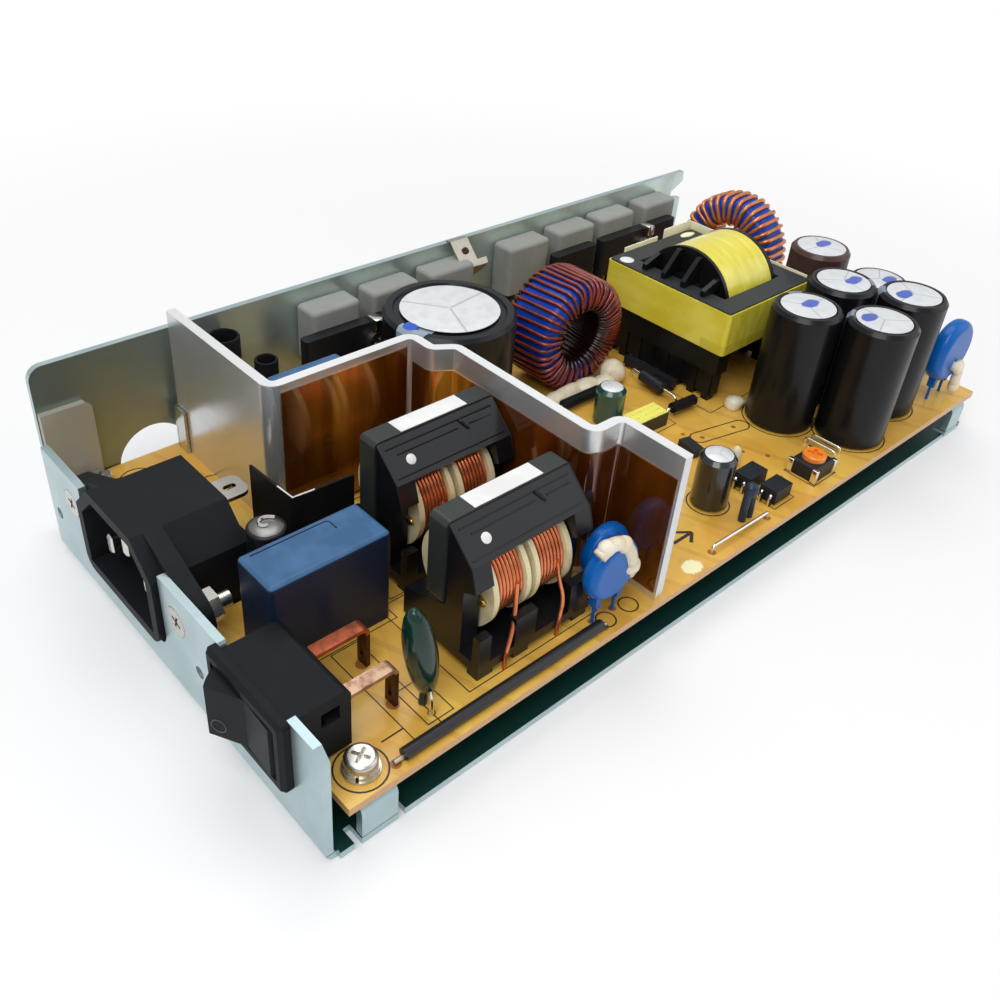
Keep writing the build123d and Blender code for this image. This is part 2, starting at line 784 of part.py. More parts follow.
# Transformer: core ring with a round centre leg, bobbin, drum and tape
def make_transformer():
    middle = (trafo_near + trafo_far) / 2
    centre = (trafo_left + trafo_right) / 2
    length = trafo_right - trafo_left
    width = trafo_far - trafo_near
    window_left = trafo_left + trafo_back
    window_right = trafo_right - trafo_back
    with BuildPart() as core:
        with BuildSketch(FLOOR.offset(trafo_low)):
            with Locations((centre, middle)):
                Rectangle(length, width)
                Rectangle(length - 2 * trafo_back, width - 2 * trafo_leg, mode=Mode.SUBTRACT)
        extrude(amount=trafo_high - trafo_low)
        fillet(core.edges().filter_by(Axis.Z).group_by(Axis.X)[0], radius=0.8)
        fillet(core.edges().filter_by(Axis.Z).group_by(Axis.X)[-1], radius=0.8)
        with BuildSketch(facing_right(window_left)):
            with Locations((middle, drum_height)):
                Circle(centre_leg_r)
        extrude(amount=window_right - window_left)
    core.part.label = "transformer_core"
    export_step(core.part, "parts/transformer_core.step")

    with BuildPart() as bobbin:
        with BuildSketch(facing_right(window_left + 0.2)):
            with Locations((middle, drum_height)):
                Circle(centre_leg_r + 0.2 + bobbin_wall)
        extrude(amount=window_right - window_left - 0.4)
        for along, width_along in ((window_left + 2.4, 1.0), (window_right - 1.4, 1.2)):
            with BuildSketch(facing_right(along)):
                with Locations((middle, drum_height)):
                    Circle(drum_r + 0.1)
            extrude(amount=width_along)
        # Fins running from the left flange over the top of the core
        for across, top in ((middle - 9, 38.6), (middle - 3, 42.0), (middle + 3, 42.0), (middle + 9, 38.6)):
            with BuildSketch(facing_near(across + 0.6)):
                with BuildLine():
                    Polyline(
                        (window_left - 3.5, trafo_high + 0.1), (window_left + 3, trafo_high + 0.1),
                        (window_left + 3, top), (window_left + 1, top), (window_left - 3.5, 37), close=True,
                    )
                make_face()
            extrude(amount=1.2)
        # Pin rails below the core, with teeth down to the board
        for along in (trafo_left + 0.2, trafo_right - 4.6):
            with BuildSketch(BOARD.offset(8)):
                with Locations((along, middle)):
                    Rectangle(4.4, width - 1, align=(Align.MIN, Align.CENTER))
            extrude(amount=trafo_low - board_top - 8 - 0.1)
            with BuildSketch(BOARD):
                with Locations((along + 2.2, middle)):
                    with GridLocations(1, (width - 6) / 7, 1, 8):
                        Rectangle(2.4, 2.0)
            extrude(amount=8)
        # Webs from the rails to the flanges
        for low_along, high_along in ((trafo_left + 4.4, window_left + 3.0), (window_right - 1.1, trafo_right - 4.4)):
            with BuildSketch(BOARD.offset(8)):
                with Locations((low_along, middle - 8), (low_along, middle + 8)):
                    Rectangle(high_along - low_along, 3, align=(Align.MIN, Align.CENTER))
            extrude(amount=2.6)
        with BuildSketch(facing_right(window_left - 1)):
            with Locations((middle, drum_height)):
                Circle(centre_leg_r + 0.2)
        extrude(amount=window_right - window_left + 2, mode=Mode.SUBTRACT)
    bobbin.part.label = "transformer_bobbin"
    export_step(bobbin.part, "parts/transformer_bobbin.step")

    with BuildPart() as drum:
        with BuildSketch(facing_right(window_left + 3.5)):
            with Locations((middle, drum_height)):
                Circle(drum_r)
                Circle(centre_leg_r + 0.3 + bobbin_wall, mode=Mode.SUBTRACT)
        extrude(amount=window_right - window_left - 5.0)
    drum.part.label = "transformer_winding"
    export_step(drum.part, "parts/transformer_winding.step")

    with BuildPart() as tape:
        with BuildSketch(FLOOR.offset(trafo_low + 0.4)):
            with Locations((centre, middle)):
                RectangleRounded(length + 0.8, width + 0.8, 1.0)
                RectangleRounded(length + 0.1, width + 0.1, 0.7, mode=Mode.SUBTRACT)
        extrude(amount=trafo_high - trafo_low - 0.8)
    tape.part.label = "transformer_tape"
    export_step(tape.part, "parts/transformer_tape.step")


# Toroids: ring core inside a ring shaped winding that is open at its gap
def make_toroid(name, place, ring_r, hole_r, depth, gap_angle):
    core_outer = ring_r - 2.2
    core_inner = hole_r + 2.2
    half_core = depth / 2 - 2.2
    with BuildPart() as core:
        with BuildSketch(Plane.XY.offset(-half_core)):
            Circle(core_outer)
            Circle(core_inner, mode=Mode.SUBTRACT)
        extrude(amount=2 * half_core)
        fillet(core.edges().filter_by(GeomType.CIRCLE), radius=0.6)
    seated = place * core.part
    seated.label = name + "_core"
    export_step(seated, "parts/" + name + "_core.step")
    with BuildPart() as winding:
        with BuildSketch(Plane.XZ):
            with Locations(((ring_r + hole_r) / 2, 0)):
                RectangleRounded(ring_r - hole_r, depth, 1.8)
                Rectangle(core_outer - core_inner + 0.2, 2 * half_core + 0.2, mode=Mode.SUBTRACT)
        revolve(axis=Axis.Z, revolution_arc=360 - gap_angle)
    seated = place * Rot(0, 0, -90 + gap_angle / 2) * winding.part
    seated.label = name + "_winding"
    export_step(seated, "parts/" + name + "_winding.step")


def make_toroids():
    near, far = boost_across
    boost = FLOOR.location * Pos(boost_along, (near + far) / 2, boost_height) * Rot(90, 0, 0)
    make_toroid("boost_toroid", boost, boost_r, boost_hole_r, far - near, 24)
    low, high = output_toroid_along
    output = FLOOR.location * Pos((low + high) / 2, output_toroid_across, output_toroid_height)
    output = output * Rot(0, 0, 90) * Rot(90, 0, 0)
    make_toroid("output_toroid", output, output_toroid_r, output_toroid_hole_r, high - low, 40)


# Disc capacitors standing on two leads
def disc_capacitor(centre, disc_r, thickness, lead_spacing):
    along, across, height = centre
    with BuildPart() as disc:
        with BuildSketch(facing_near(across + thickness / 2)):
            with Locations((along, height)):
                Circle(disc_r)
        extrude(amount=thickness)
        fillet(disc.edges().filter_by(GeomType.CIRCLE), radius=thickness / 2 - 0.3)
        for offset_along in (-lead_spacing / 2, lead_spacing / 2):
            with BuildSketch(facing_near(across + 0.9)):
                with BuildLine():
                    Polyline(
                        (along + offset_along - 0.9, height - disc_r * 0.7),
                        (along + offset_along + 0.9, height - disc_r * 0.7),
                        (along + offset_along + 0.5, height - disc_r - 1.5),
                        (along + offset_along - 0.5, height - disc_r - 1.5), close=True,
                    )
                make_face()
            extrude(amount=1.8)
            with BuildSketch(BOARD):
                with Locations((along + offset_along, across)):
                    Circle(0.35)
            extrude(amount=height - disc_r - 1 - board_top)
    return disc.part


def make_discs():
    front = Compound(
        label="front_discs",
        children=[
            disc_capacitor((64.6, 4.6, 22.0), 6.3, 3.6, 5.6),
            disc_capacitor((69.0, 9.8, 20.5), 5.6, 3.4, 5.0),
        ],
    )
    export_step(front, "parts/front_discs.step")
    rear = Compound(
        label="rear_disc",
        children=[
            disc_capacitor((191.6, 6.0, 23.6), 8.0, 4.5, 6.4),
            disc_capacitor((189.6, 11.2, 19.0), 4.6, 3.0, 4.4),
        ],
    )
    export_step(rear, "parts/rear_disc.step")


# Grey boots on the wall with the devices inside, and what clamps them
def make_wall_devices():
    with BuildPart() as boots:
        for left, right in boot_spans:
            with BuildSketch(FLOOR.offset(boot_low)):
                with Locations(((left + right) / 2, wall_inner - boot_depth / 2)):
                    RectangleRounded(right - left, boot_depth, 1.2)
            extrude(amount=boot_top - boot_low)
        fillet(boots.edges().group_by(Axis.Z)[-1], radius=1.1)
        for left, right in boot_spans:
            with BuildSketch(FLOOR.offset(boot_low)):
                with Locations(((left + right) / 2, wall_inner - boot_depth / 2)):
                    Rectangle(right - left - 2 * boot_skin, boot_depth - 2 * boot_skin)
            extrude(amount=boot_top - boot_low - boot_skin, mode=Mode.SUBTRACT)
    boots.part.label = "device_boots"
    export_step(boots.part, "parts/device_boots.step")

    with BuildPart() as devices:
        for left, right in boot_spans:
            middle = ((left + right) / 2, wall_inner - boot_depth / 2)
            with BuildSketch(FLOOR.offset(boot_low - 2.5)):
                with Locations(middle):
                    Rectangle(10.0, 4.2)
            extrude(amount=boot_top - boot_low - boot_skin + 1.5)
            with BuildSketch(BOARD):
                with Locations(((left + right) / 2, wall_inner - boot_depth / 2)):
                    with GridLocations(2.54, 1, 3, 1):
                        Rectangle(0.9, 0.6)
            extrude(amount=boot_low - 2.5 - board_top)
    devices.part.label = "power_devices"
    export_step(devices.part, "parts/power_devices.step")

    bar_far = wall_inner - boot_depth - 0.1
    with BuildPart() as bars:
        for left, right in clamp_spans:
            with BuildSketch(FLOOR.offset(clamp_low)):
                with Locations(((left + right) / 2, bar_far - clamp_thickness / 2)):
                    RectangleRounded(right - left, clamp_thickness, 0.8)
            extrude(amount=clamp_top - clamp_low)
        with BuildSketch(facing_near(base_width)):
            with Locations(*wall_screw_spots):
                Circle(screw_hole_r)
        extrude(amount=14, mode=Mode.SUBTRACT)
    bars.part.label = "clamp_bars"
    export_step(bars.part, "parts/clamp_bars.step")

    with BuildPart() as clamp_screws:
        with BuildSketch(facing_near(bar_far - clamp_thickness)):
            with Locations(*wall_screw_spots):
                Circle(screw_head_r)
        extrude(amount=wall_screw_head)
        with BuildSketch(facing_near(base_width + 0.6)):
            with Locations(*wall_screw_spots):
                Circle(screw_shaft_r - 0.1)
        extrude(amount=base_width + 0.6 - bar_far + clamp_thickness)
        with BuildSketch(facing_near(bar_far - clamp_thickness - wall_screw_head)):
            with Locations(*wall_screw_spots):
                Rectangle(3.2, 0.7)
                Rectangle(0.7, 3.2)
        extrude(amount=-1.0, mode=Mode.SUBTRACT)
    clamp_screws.part.label = "clamp_screws"
    export_step(clamp_screws.part, "parts/clamp_screws.step")

    # Bright spring clip over the top edge of the third boot
    with BuildPart() as clip:
        with BuildSketch(facing_right(106.6)):
            with BuildLine():
                FilletPolyline(
                    (base_width + 0.45, 33), (base_width + 0.45, 39.2), (97.6, 39.2), (93.8, 36.0),
                    (91.8, 37.6), (90.6, 31.6), radius=0.7,
                )
            trace(line_width=0.6)
        extrude(amount=4.4)
    clip.part.label = "spring_clip"
    export_step(clip.part, "parts/spring_clip.step")


# Trimmer body with a round rotor turning in its bore
def make_trimmer():
    along, across = trimmer_spot
    with BuildPart() as body:
        with BuildSketch(BOARD):
            with Locations((along, across)):
                Rectangle(7.2, 6.6)
        extrude(amount=trimmer_body_top - board_top)
        chamfer(body.faces().sort_by(Axis.Z)[-1].edges(), length=0.4)
        with BuildSketch(BOARD.offset(1.2)):
            with Locations((along, across)):
                Circle(rotor_shaft_r + rotor_clearance)
        extrude(amount=10, mode=Mode.SUBTRACT)
    body.part.label = "trimmer_body"
    export_step(body.part, "parts/trimmer_body.step")
    with BuildPart() as rotor:
        with BuildSketch(FLOOR.offset(trimmer_body_top + 0.02)):
            with Locations((along, across)):
                Circle(rotor_r)
        extrude(amount=rotor_top - trimmer_body_top - 0.02)
        chamfer(rotor.edges().filter_by(GeomType.CIRCLE).group_by(Axis.Z)[-1], length=0.25)
        with BuildSketch(FLOOR.offset(rotor_top)):
            with Locations((along, across)):
                Rectangle(3.4, 0.8, rotation=20)
                Rectangle(0.8, 3.4, rotation=20)
        extrude(amount=-0.8, mode=Mode.SUBTRACT)
        with BuildSketch(BOARD.offset(1.4)):
            with Locations((along, across)):
                Circle(rotor_shaft_r)
        extrude(amount=trimmer_body_top - board_top - 1.3)
    rotor.part.label = "trimmer_rotor"
    export_step(rotor.part, "parts/trimmer_rotor.step")


# Two small packages with four bent leads each
def make_optocouplers():
    with BuildPart() as packages:
        for left, right, near, far in ((117.6, 124.0, 10.2, 14.4), (118.4, 124.2, 3.9, 8.1)):
            with BuildSketch(BOARD.offset(0.5)):
                with Locations(((left + right) / 2, (near + far) / 2)):
                    Rectangle(right - left, far - near)
            extrude(amount=3.2)
            with BuildSketch(BOARD):
                with Locations((left - 0.5, near + 1), (left - 0.5, far - 1), (right + 0.5, near + 1),
                               (right + 0.5, far - 1)):
                    Rectangle(1.1, 0.6)
            extrude(amount=2)
    packages.part.label = "optocouplers"
    export_step(packages.part, "parts/optocouplers.step")


# Round wires bowed over the board from hole to hole
def bow(start, finish, lift, wire_r):
    base_point = BOARD.from_local_coords((start[0], start[1], 0))
    end_point = BOARD.from_local_coords((finish[0], finish[1], 0))
    up = Vector(0, 0, lift)
    with BuildPart() as wire:
        with BuildLine() as path:
            FilletPolyline(base_point, base_point + up, end_point + up, end_point, radius=min(0.8, lift * 0.45))
        with BuildSketch(Plane(origin=base_point, z_dir=(0, 0, 1))):
            Circle(wire_r)
        sweep(path=path.line)
    return wire.part


def make_wires():
    spans = [
        ((95.5, 2.9), (114.0, 2.6), 1.5), ((145.3, 13.7), (145.2, 6.1), 1.6), ((147.7, 13.4), (147.8, 6.2), 1.6),
        ((132.4, 42.6), (134.6, 58.4), 2.6), ((106.0, 57.1), (121.8, 56.8), 2.2),
        ((126.8, 40.7), (137.6, 39.7), 2.2),
    ]
    jumpers = Compound(
        label="wire_jumpers",
        children=[bow(start, finish, lift, 0.35) for start, finish, lift in spans],
    )
    export_step(jumpers, "parts/wire_jumpers.step")


# Insulated jumpers: a bare bow inside a sleeve, here modelled as one stepped bar each
def make_sleeves():
    with BuildPart() as long_jumper:
        with BuildSketch(facing_right(16.1)):
            with Locations((2.3, 11.5)):
                Circle(1.1)
        extrude(amount=45.6)
        with BuildSketch(facing_right(14.2)):
            with Locations((2.3, 11.0)):
                Circle(0.4)
        extrude(amount=48.6)
    long_jumper.part.label = "long_jumper"
    export_step(long_jumper.part, "parts/long_jumper.step")

    with BuildPart() as sleeves:
        for start, finish in (((108.1, 57.1), (119.9, 56.85)), ((128.5, 40.5), (136.0, 39.85))):
            first = BOARD.from_local_coords((start[0], start[1], 2.2))
            last = BOARD.from_local_coords((finish[0], finish[1], 2.2))
            with BuildSketch(Plane(origin=first, z_dir=last - first)):
                Circle(1.3)
                Circle(0.4, mode=Mode.SUBTRACT)
            extrude(amount=(last - first).length)
    sleeves.part.label = "jumper_sleeves"
    export_step(sleeves.part, "parts/jumper_sleeves.step")

    with BuildPart() as tubes:
        for spot, tube_r, top in (((42.5, base_width - 6.0), 2.9, 35.0), ((45.8, base_width - 16.0), 2.0, 33.0)):
            with BuildSketch(BOARD.offset(4)):
                with Locations(spot):
                    Circle(tube_r)
            extrude(amount=top - board_top - 4)
            with BuildSketch(FLOOR.offset(top)):
                with Locations(spot):
                    Circle(tube_r * 0.5)
            extrude(amount=-3, mode=Mode.SUBTRACT)
            with BuildSketch(BOARD):
                with Locations(spot):
                    Circle(0.6)
            extrude(amount=4)
    tubes.part.label = "shrink_tubes"
    export_step(tubes.part, "parts/shrink_tubes.step")


# Small parts standing between the larger ones
def make_small_parts():
    with BuildPart() as sensor:
        with BuildSketch(BOARD.offset(4.2)):
            with Locations((110.0, 5.2)):
                Rectangle(4.0, 3.2)
        extrude(amount=4.1)
        fillet(sensor.edges().filter_by(Axis.Z), radius=1.2)
        with BuildSketch(BOARD):
            with Locations((108.8, 5.2), (111.2, 5.2)):
                Rectangle(0.5, 0.5)
        extrude(amount=4.2)
    sensor.part.label = "sensor"
    export_step(sensor.part, "parts/sensor.step")

    with BuildPart() as labelled:
        with BuildSketch(BOARD):
            with Locations((119.4, 41.4)):
                Rectangle(10.6, 5.2, rotation=-3)
        extrude(amount=4.1)
        chamfer(labelled.faces().sort_by(Axis.Z)[-1].edges(), length=0.5)
    labelled.part.label = "labelled_box"
    export_step(labelled.part, "parts/labelled_box.step")

    with BuildPart() as diodes:
        with BuildSketch(BOARD.offset(1.0)):
            with Locations((138.0, 55.4)):
                Rectangle(1.9, 16)
        extrude(amount=2.0)
        with BuildSketch(BOARD):
            with Locations((138.0, 48.2), (138.0, 62.6)):
                Rectangle(0.8, 1.2)
        extrude(amount=1.0)
        with BuildSketch(BOARD):
            with Locations((120.6, 28.2)):
                Rectangle(3.0, 5.6, rotation=-12)
        extrude(amount=1.9)
    diodes.part.label = "flat_diodes"
    export_step(diodes.part, "parts/flat_diodes.step")

    diode_low = BOARD.from_local_coords((133.1, 47.4, 2.6))
    diode_high = BOARD.from_local_coords((134.0, 54.6, 2.6))
    with BuildPart() as axial:
        with BuildSketch(Plane(origin=diode_low, z_dir=diode_high - diode_low)):
            Circle(1.5)
            Circle(0.4, mode=Mode.SUBTRACT)
        extrude(amount=(diode_high - diode_low).length)
    axial.part.label = "axial_diode"
    export_step(axial.part, "parts/axial_diode.step")


# Glue blobs as low domes beside the parts they hold
def make_glue():
    with BuildPart() as glue:
        for spot, dome_r, rise in (
            ((127.6, 60.0), 3.2, 3.2), ((119.3, 60.5), 2.1, 1.9), ((98.5, 57.2), 3.6, 2.6),
            ((122.2, 17.1), 2.3, 2.6), ((144.5, 33.8), 2.8, 2.6), ((191.0, output_toroid_across), 5.5, 3.9),
        ):
            radius = (dome_r * dome_r + rise * rise) / (2 * rise) if rise < dome_r else dome_r
            with Locations(BOARD.from_local_coords((spot[0], spot[1], min(rise - radius, 0) + 0.02))):
                Sphere(radius)
        split(bisect_by=BOARD, keep=Keep.TOP)
    glue.part.label = "glue"
    export_step(glue.part, "parts/glue.step")


os.makedirs("parts", exist_ok=True)
make_chassis()
make_circuit_board()
make_board_screws()
make_board_washers()
make_inlet()
make_switch()
make_heat_sink()
make_box_capacitor("suppression_capacitor", (9.7, 28.3), (33.8, 38.6), 30.5, 0.9)
make_box_capacitor("second_box_capacitor", (39.0, 65.5), (56.0, 75.5), 36.0, 0.8)
make_fuse()
make_choke("near_choke", near_choke_spot)
make_choke("far_choke", far_choke_spot)
make_dipped_part()
make_capacitors()
make_transformer()
make_toroids()
make_discs()
make_wall_devices()
make_trimmer()
make_optocouplers()
make_wires()
make_sleeves()
make_small_parts()
make_glue()
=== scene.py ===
import math
from functools import reduce

import bmesh
import bpy
from bpy.props import FloatProperty, FloatVectorProperty, IntProperty, PointerProperty
from mathutils import Matrix, Vector


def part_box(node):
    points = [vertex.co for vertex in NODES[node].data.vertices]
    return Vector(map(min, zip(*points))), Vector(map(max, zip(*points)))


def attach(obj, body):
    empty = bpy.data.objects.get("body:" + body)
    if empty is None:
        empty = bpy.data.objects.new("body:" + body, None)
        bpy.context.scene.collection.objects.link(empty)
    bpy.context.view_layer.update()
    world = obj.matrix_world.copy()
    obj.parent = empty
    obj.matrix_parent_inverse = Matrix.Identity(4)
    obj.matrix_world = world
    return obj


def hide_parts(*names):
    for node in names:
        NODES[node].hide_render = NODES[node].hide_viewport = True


bl_info = {
    "name": "Power Supply Board Looks",
    "version": (1, 0, 0),
    "blender": (4, 5, 0),
    "location": "View3D > Sidebar > Power Board",
    "description": "Dresses the packed power supply board with wound wire, print, glue and finishes",
    "category": "Object",
}

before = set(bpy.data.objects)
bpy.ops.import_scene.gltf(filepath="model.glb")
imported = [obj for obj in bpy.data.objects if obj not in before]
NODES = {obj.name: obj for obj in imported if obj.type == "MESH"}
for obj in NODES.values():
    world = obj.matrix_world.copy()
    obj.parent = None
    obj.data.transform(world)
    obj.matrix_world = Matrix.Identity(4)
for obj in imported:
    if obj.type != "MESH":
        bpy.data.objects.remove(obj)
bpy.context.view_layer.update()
CORNER = Vector(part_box("chassis")[0])
MM = 0.001

# Heights and places in millimetres from the tray's corner
DECK_TOP = 1.5
BOARD_TOP = 10.4
BOARD_DEPTH = 1.6
SINK_TOP = 43.4
WALL_INNER = 100.1
TRAY_MIDDLE = (100, 50)
TAB_END = 13.2
PALE_DROP = (88.8, 2.6)
STRIPS_BETWEEN = 17.5
STRIP_FEET = 18
FILM_BETWEEN = 58
MIRROR_END = 33.2
TAPE_SHADE = (44, 27)
SMALL_CANS_BETWEEN = 30
JUMPER_BARE = (16.05, 61.75)
LABEL_FOOT = BOARD_TOP + 3.7

# Bright ends of the cans: middle, radius, height, ink mark in radii from the middle, turn of the scores
CANS = {
    "bulk_top": ((86.1, 74.6), 11.2, 37.38, None, 8),
    "output_top_a": ((168.3, 26.8), 6.2, 40.48, (0.35, -0.25), 20),
    "output_top_b": ((176.1, 12.7), 6.2, 40.48, (-0.4, 0.2), 60),
    "output_top_c": ((149.4, 24.2), 6.2, 40.48, (0.2, 0.05), 0),
    "output_top_d": ((157.7, 9.9), 6.2, 40.48, (-0.3, 0.45), 80),
    "output_top_e": ((190.8, 28.3), 6.0, 34.18, (0.3, -0.3), 30),
    "brown_top": ((181.8, 41.4), 6.0, 40.48, (0.3, 0.1), 50),
    "control_top": ((108.1, 13.6), 3.0, 23.08, None, 20),
    "green_top": ((114.2, 48.3), 2.6, 19.98, None, 70),
}
# The way that the pale stripe of each tall output can faces, in degrees
STRIPES = {"output_top_a": 318, "output_top_b": 122, "output_top_d": 112, "output_top_c": 60}


def spot(along, across, up):
    """A point in metres from millimetres along the tray, across it and up from its underside."""
    return CORNER + Vector((along, across, up)) * MM


def node_corners(node):
    """The two corners of a CAD node's box, in millimetres from the tray's corner."""
    return [(Vector(corner) - CORNER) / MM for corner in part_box(node)]


def turn_to(axis):
    """The turn that takes +Z to an axis."""
    return Vector((0, 0, 1)).rotation_difference(Vector(axis)).to_matrix().to_4x4()


def round_steps(count):
    """Cosine and sine of equal steps round a full circle."""
    return [(math.cos(math.tau * i / count), math.sin(math.tau * i / count)) for i in range(count)]


# Shader maths written as plain expressions


def maths_sign(operation, swapped=False):
    """A method that puts one arithmetic sign between two values, or before one."""
    def method(self, other=None):
        pair = (other, self) if swapped else (self, other)
        return self.maths(operation, *(value for value in pair if value is not None))
    return method


class Wire:
    """One output socket that can be added, multiplied and compared."""

    def __init__(self, nodes, socket):
        self.nodes = nodes
        self.socket = socket

    def maths(self, operation, *values, clamp=False):
        settings = {"operation": operation, "use_clamp": clamp}
        return self.nodes.wire("ShaderNodeMath", 0, settings, dict(enumerate(values)))

    __add__ = maths_sign("ADD")
    __radd__ = maths_sign("ADD", swapped=True)
    __sub__ = maths_sign("SUBTRACT")
    __rsub__ = maths_sign("SUBTRACT", swapped=True)
    __mul__ = maths_sign("MULTIPLY")
    __rmul__ = maths_sign("MULTIPLY", swapped=True)
    __lt__ = maths_sign("LESS_THAN")
    __gt__ = maths_sign("GREATER_THAN")
    __abs__ = maths_sign("ABSOLUTE")
    sine = maths_sign("SINE")
    root = maths_sign("SQRT")
    most = maths_sign("MAXIMUM")

    def step(self, low, high):
        """0 below low, 1 above high, and smooth between."""
        return self.nodes.wire(
            "ShaderNodeMapRange", "Result", {"interpolation_type": "SMOOTHSTEP"},
            {"Value": self, "From Min": low, "From Max": high},
        )


def any_of(masks):
    """1 where any of the masks is 1."""
    return reduce(Wire.most, masks)


def away_from(x, y, centre):
    """Distance in the plane of x and y from a centre."""
    dx, dy = x - centre[0], y - centre[1]
    return (dx * dx + dy * dy).root()


class Nodes:
    """Adds nodes to one node tree."""

    def __init__(self, tree):
        self.tree = tree
        self.row = 0

    def feed(self, socket, value):
        if isinstance(value, Wire):
            self.tree.links.new(value.socket, socket)
        elif isinstance(value, (tuple, list)) and len(value) == 3 and socket.type == "RGBA":
            socket.default_value = (*value, 1.0)
        else:
            socket.default_value = value

    def node(self, kind, settings=None, inputs=None):
        """Adds one node: its settings first, then the values and links of its sockets."""
        made = self.tree.nodes.new(kind)
        self.row += 1
        made.location = (-220 * (self.row % 8) - 300, -180 * (self.row // 8))
        for name, value in (settings or {}).items():
            setattr(made, name, value)
        for name, value in (inputs or {}).items():
            self.feed(made.inputs[name], value)
        return made

    def wire(self, kind, output, settings=None, inputs=None):
        """Adds one node and returns one of its outputs."""
        return Wire(self, self.node(kind, settings, inputs).outputs[output])

    def ray(self, kind):
        """1 for rays of that kind, else 0."""
        return self.wire("ShaderNodeLightPath", f"Is {kind} Ray")


class Finish(Nodes):
    """One procedural material and the nodes that make its pattern."""

    def __init__(self, name, colour, roughness, **constants):
        self.material = bpy.data.materials.new(name)
        self.material.use_nodes = True
        super().__init__(self.material.node_tree)
        self.shader = self.tree.nodes["Principled BSDF"]
        self.set(Base_Color=colour, Roughness=roughness, **constants)
        self.cached_place = None

    def set(self, **values):
        for name, value in values.items():
            self.feed(self.shader.inputs[name.replace("_", " ")], value)

    def place(self):
        """Object coordinates in millimetres from the tray's corner."""
        if self.cached_place is None:
            self.cached_place = self.wire(
                "ShaderNodeMapping", "Vector", {"vector_type": "POINT"},
                {"Vector": self.wire("ShaderNodeTexCoord", "Object"), "Location": tuple(-CORNER / MM),
                 "Scale": (1 / MM,) * 3},
            )
        return self.cached_place

    def axes(self):
        parts = self.node("ShaderNodeSeparateXYZ", inputs={"Vector": self.place()})
        return [Wire(self, output) for output in parts.outputs]

    def noise(self, scale, detail=3.0, roughness=0.55, stretch=None):
        """Soft noise; stretch is one factor per axis on the place."""
        vector = self.place()
        if stretch:
            vector = self.wire("ShaderNodeVectorMath", "Vector", {"operation": "MULTIPLY"}, {0: vector, 1: stretch})
        return self.wire(
            "ShaderNodeTexNoise", "Fac",
            inputs={"Vector": vector, "Scale": scale, "Detail": detail, "Roughness": roughness},
        )

    def cells(self, scale):
        return self.wire(
            "ShaderNodeTexVoronoi", "Distance", {"feature": "F1"}, {"Vector": self.place(), "Scale": scale},
        )

    def blend(self, mask, first, second):
        return self.wire("ShaderNodeMix", 2, {"data_type": "RGBA"}, {"Factor": mask, 6: first, 7: second})

    def bump(self, height, strength, distance):
        values = {"Strength": strength, "Distance": distance, "Height": height}
        self.set(Normal=self.wire("ShaderNodeBump", "Normal", inputs=values))


def tone(red, green, blue):
    """A colour as it looks on screen, 0 to 255, as the linear values that shaders take."""
    def line(value):
        value /= 255
        return value / 12.92 if value <= 0.04045 else ((value + 0.055) / 1.055) ** 2.4
    return (line(red), line(green), line(blue))


def scaled(colour, factor, added=0.0):
    """A colour made darker or paler."""
    return tuple(c * factor + added for c in colour)


# Finishes


def zinc_sheet():
    """Plated steel: pale blue on the front plate, greyer and darker inside the tray, where the inner wall face carries
    a painted light gradient and the deck under the board painted shade.
    """
    f = Finish("zinc_sheet", tone(176, 200, 202), 0.32, Metallic=0.75)
    x, y, z = f.axes()
    clouds = f.noise(0.05, 4, 0.6)
    streaks = f.noise(0.5, 3, 0.6, stretch=(0.05, 0.05, 1.2))
    spangle = f.cells(0.6)
    pale = f.blend(clouds.step(0.35, 0.65), tone(168, 191, 196), tone(187, 206, 210))
    pale = f.blend(streaks.step(0.45, 0.75) * 0.3, pale, tone(186, 188, 174))
    # Painted light: the inner wall face is painted darker at the left end and paler towards the right
    wall_light_fade = x.maths("MULTIPLY", x, 0.012, clamp=True)
    wall = f.blend(wall_light_fade, tone(128, 140, 132), tone(204, 220, 214))
    wall = f.blend(clouds.step(0.4, 0.7) * 0.5, wall, tone(140, 150, 136))
    inside = (y > WALL_INNER - 0.1) * (y < WALL_INNER + 0.1) * (z > DECK_TOP + 0.5)
    tab = (y > WALL_INNER - 1.6) * (y < WALL_INNER - 0.05) * (x < TAB_END) * (z > DECK_TOP + 1)
    # Painted shade: the deck's top face under the board is painted dark teal and made less metallic, standing for the
    # board's shade and a painted reflection of its green underside
    deck_shade = (z > DECK_TOP - 0.1) * (z < DECK_TOP + 0.1) * (y < WALL_INNER)
    paint = f.blend(inside, pale, wall)
    paint = f.blend(tab, paint, tone(176, 172, 158))
    f.set(Base_Color=f.blend(deck_shade, paint, tone(24, 62, 58)), Metallic=0.75 - 0.45 * deck_shade - 0.5 * tab)
    f.set(Roughness=0.25 + 0.12 * clouds + 0.05 * spangle)
    f.bump(f.noise(1.5, 4) * 0.4 + spangle * 0.6, 0.05, 0.0001)
    return f.material


# Tinned spots on the board: along, across, radius
PADS = (
    (21.6, 12.0, 1.6), (22.9, 22.2, 1.6), (25.4, 6.6, 1.0), (27.4, 11.6, 1.0), (61.8, 4.6, 1.0), (67.4, 4.6, 1.0),
    (34.0, 88.7, 1.1), (30.0, 82.0, 1.1), (127.3, 29.9, 0.8), (137.0, 28.2, 0.8), (114.0, 2.6, 1.2), (95.5, 2.9, 1.2),
    (104.1, 17.7, 0.8), (106.4, 20.4, 0.8), (14.6, 2.3, 1.3), (62.6, 2.3, 1.3), (113.0, 34.0, 0.7), (124.6, 33.6, 0.7),
    (104.0, 44.0, 0.8), (130.2, 20.6, 0.8), (133.6, 16.0, 0.8), (128.9, 9.2, 0.8), (45.2, 80.0, 1.2), (52.6, 88.0, 1.2),
)


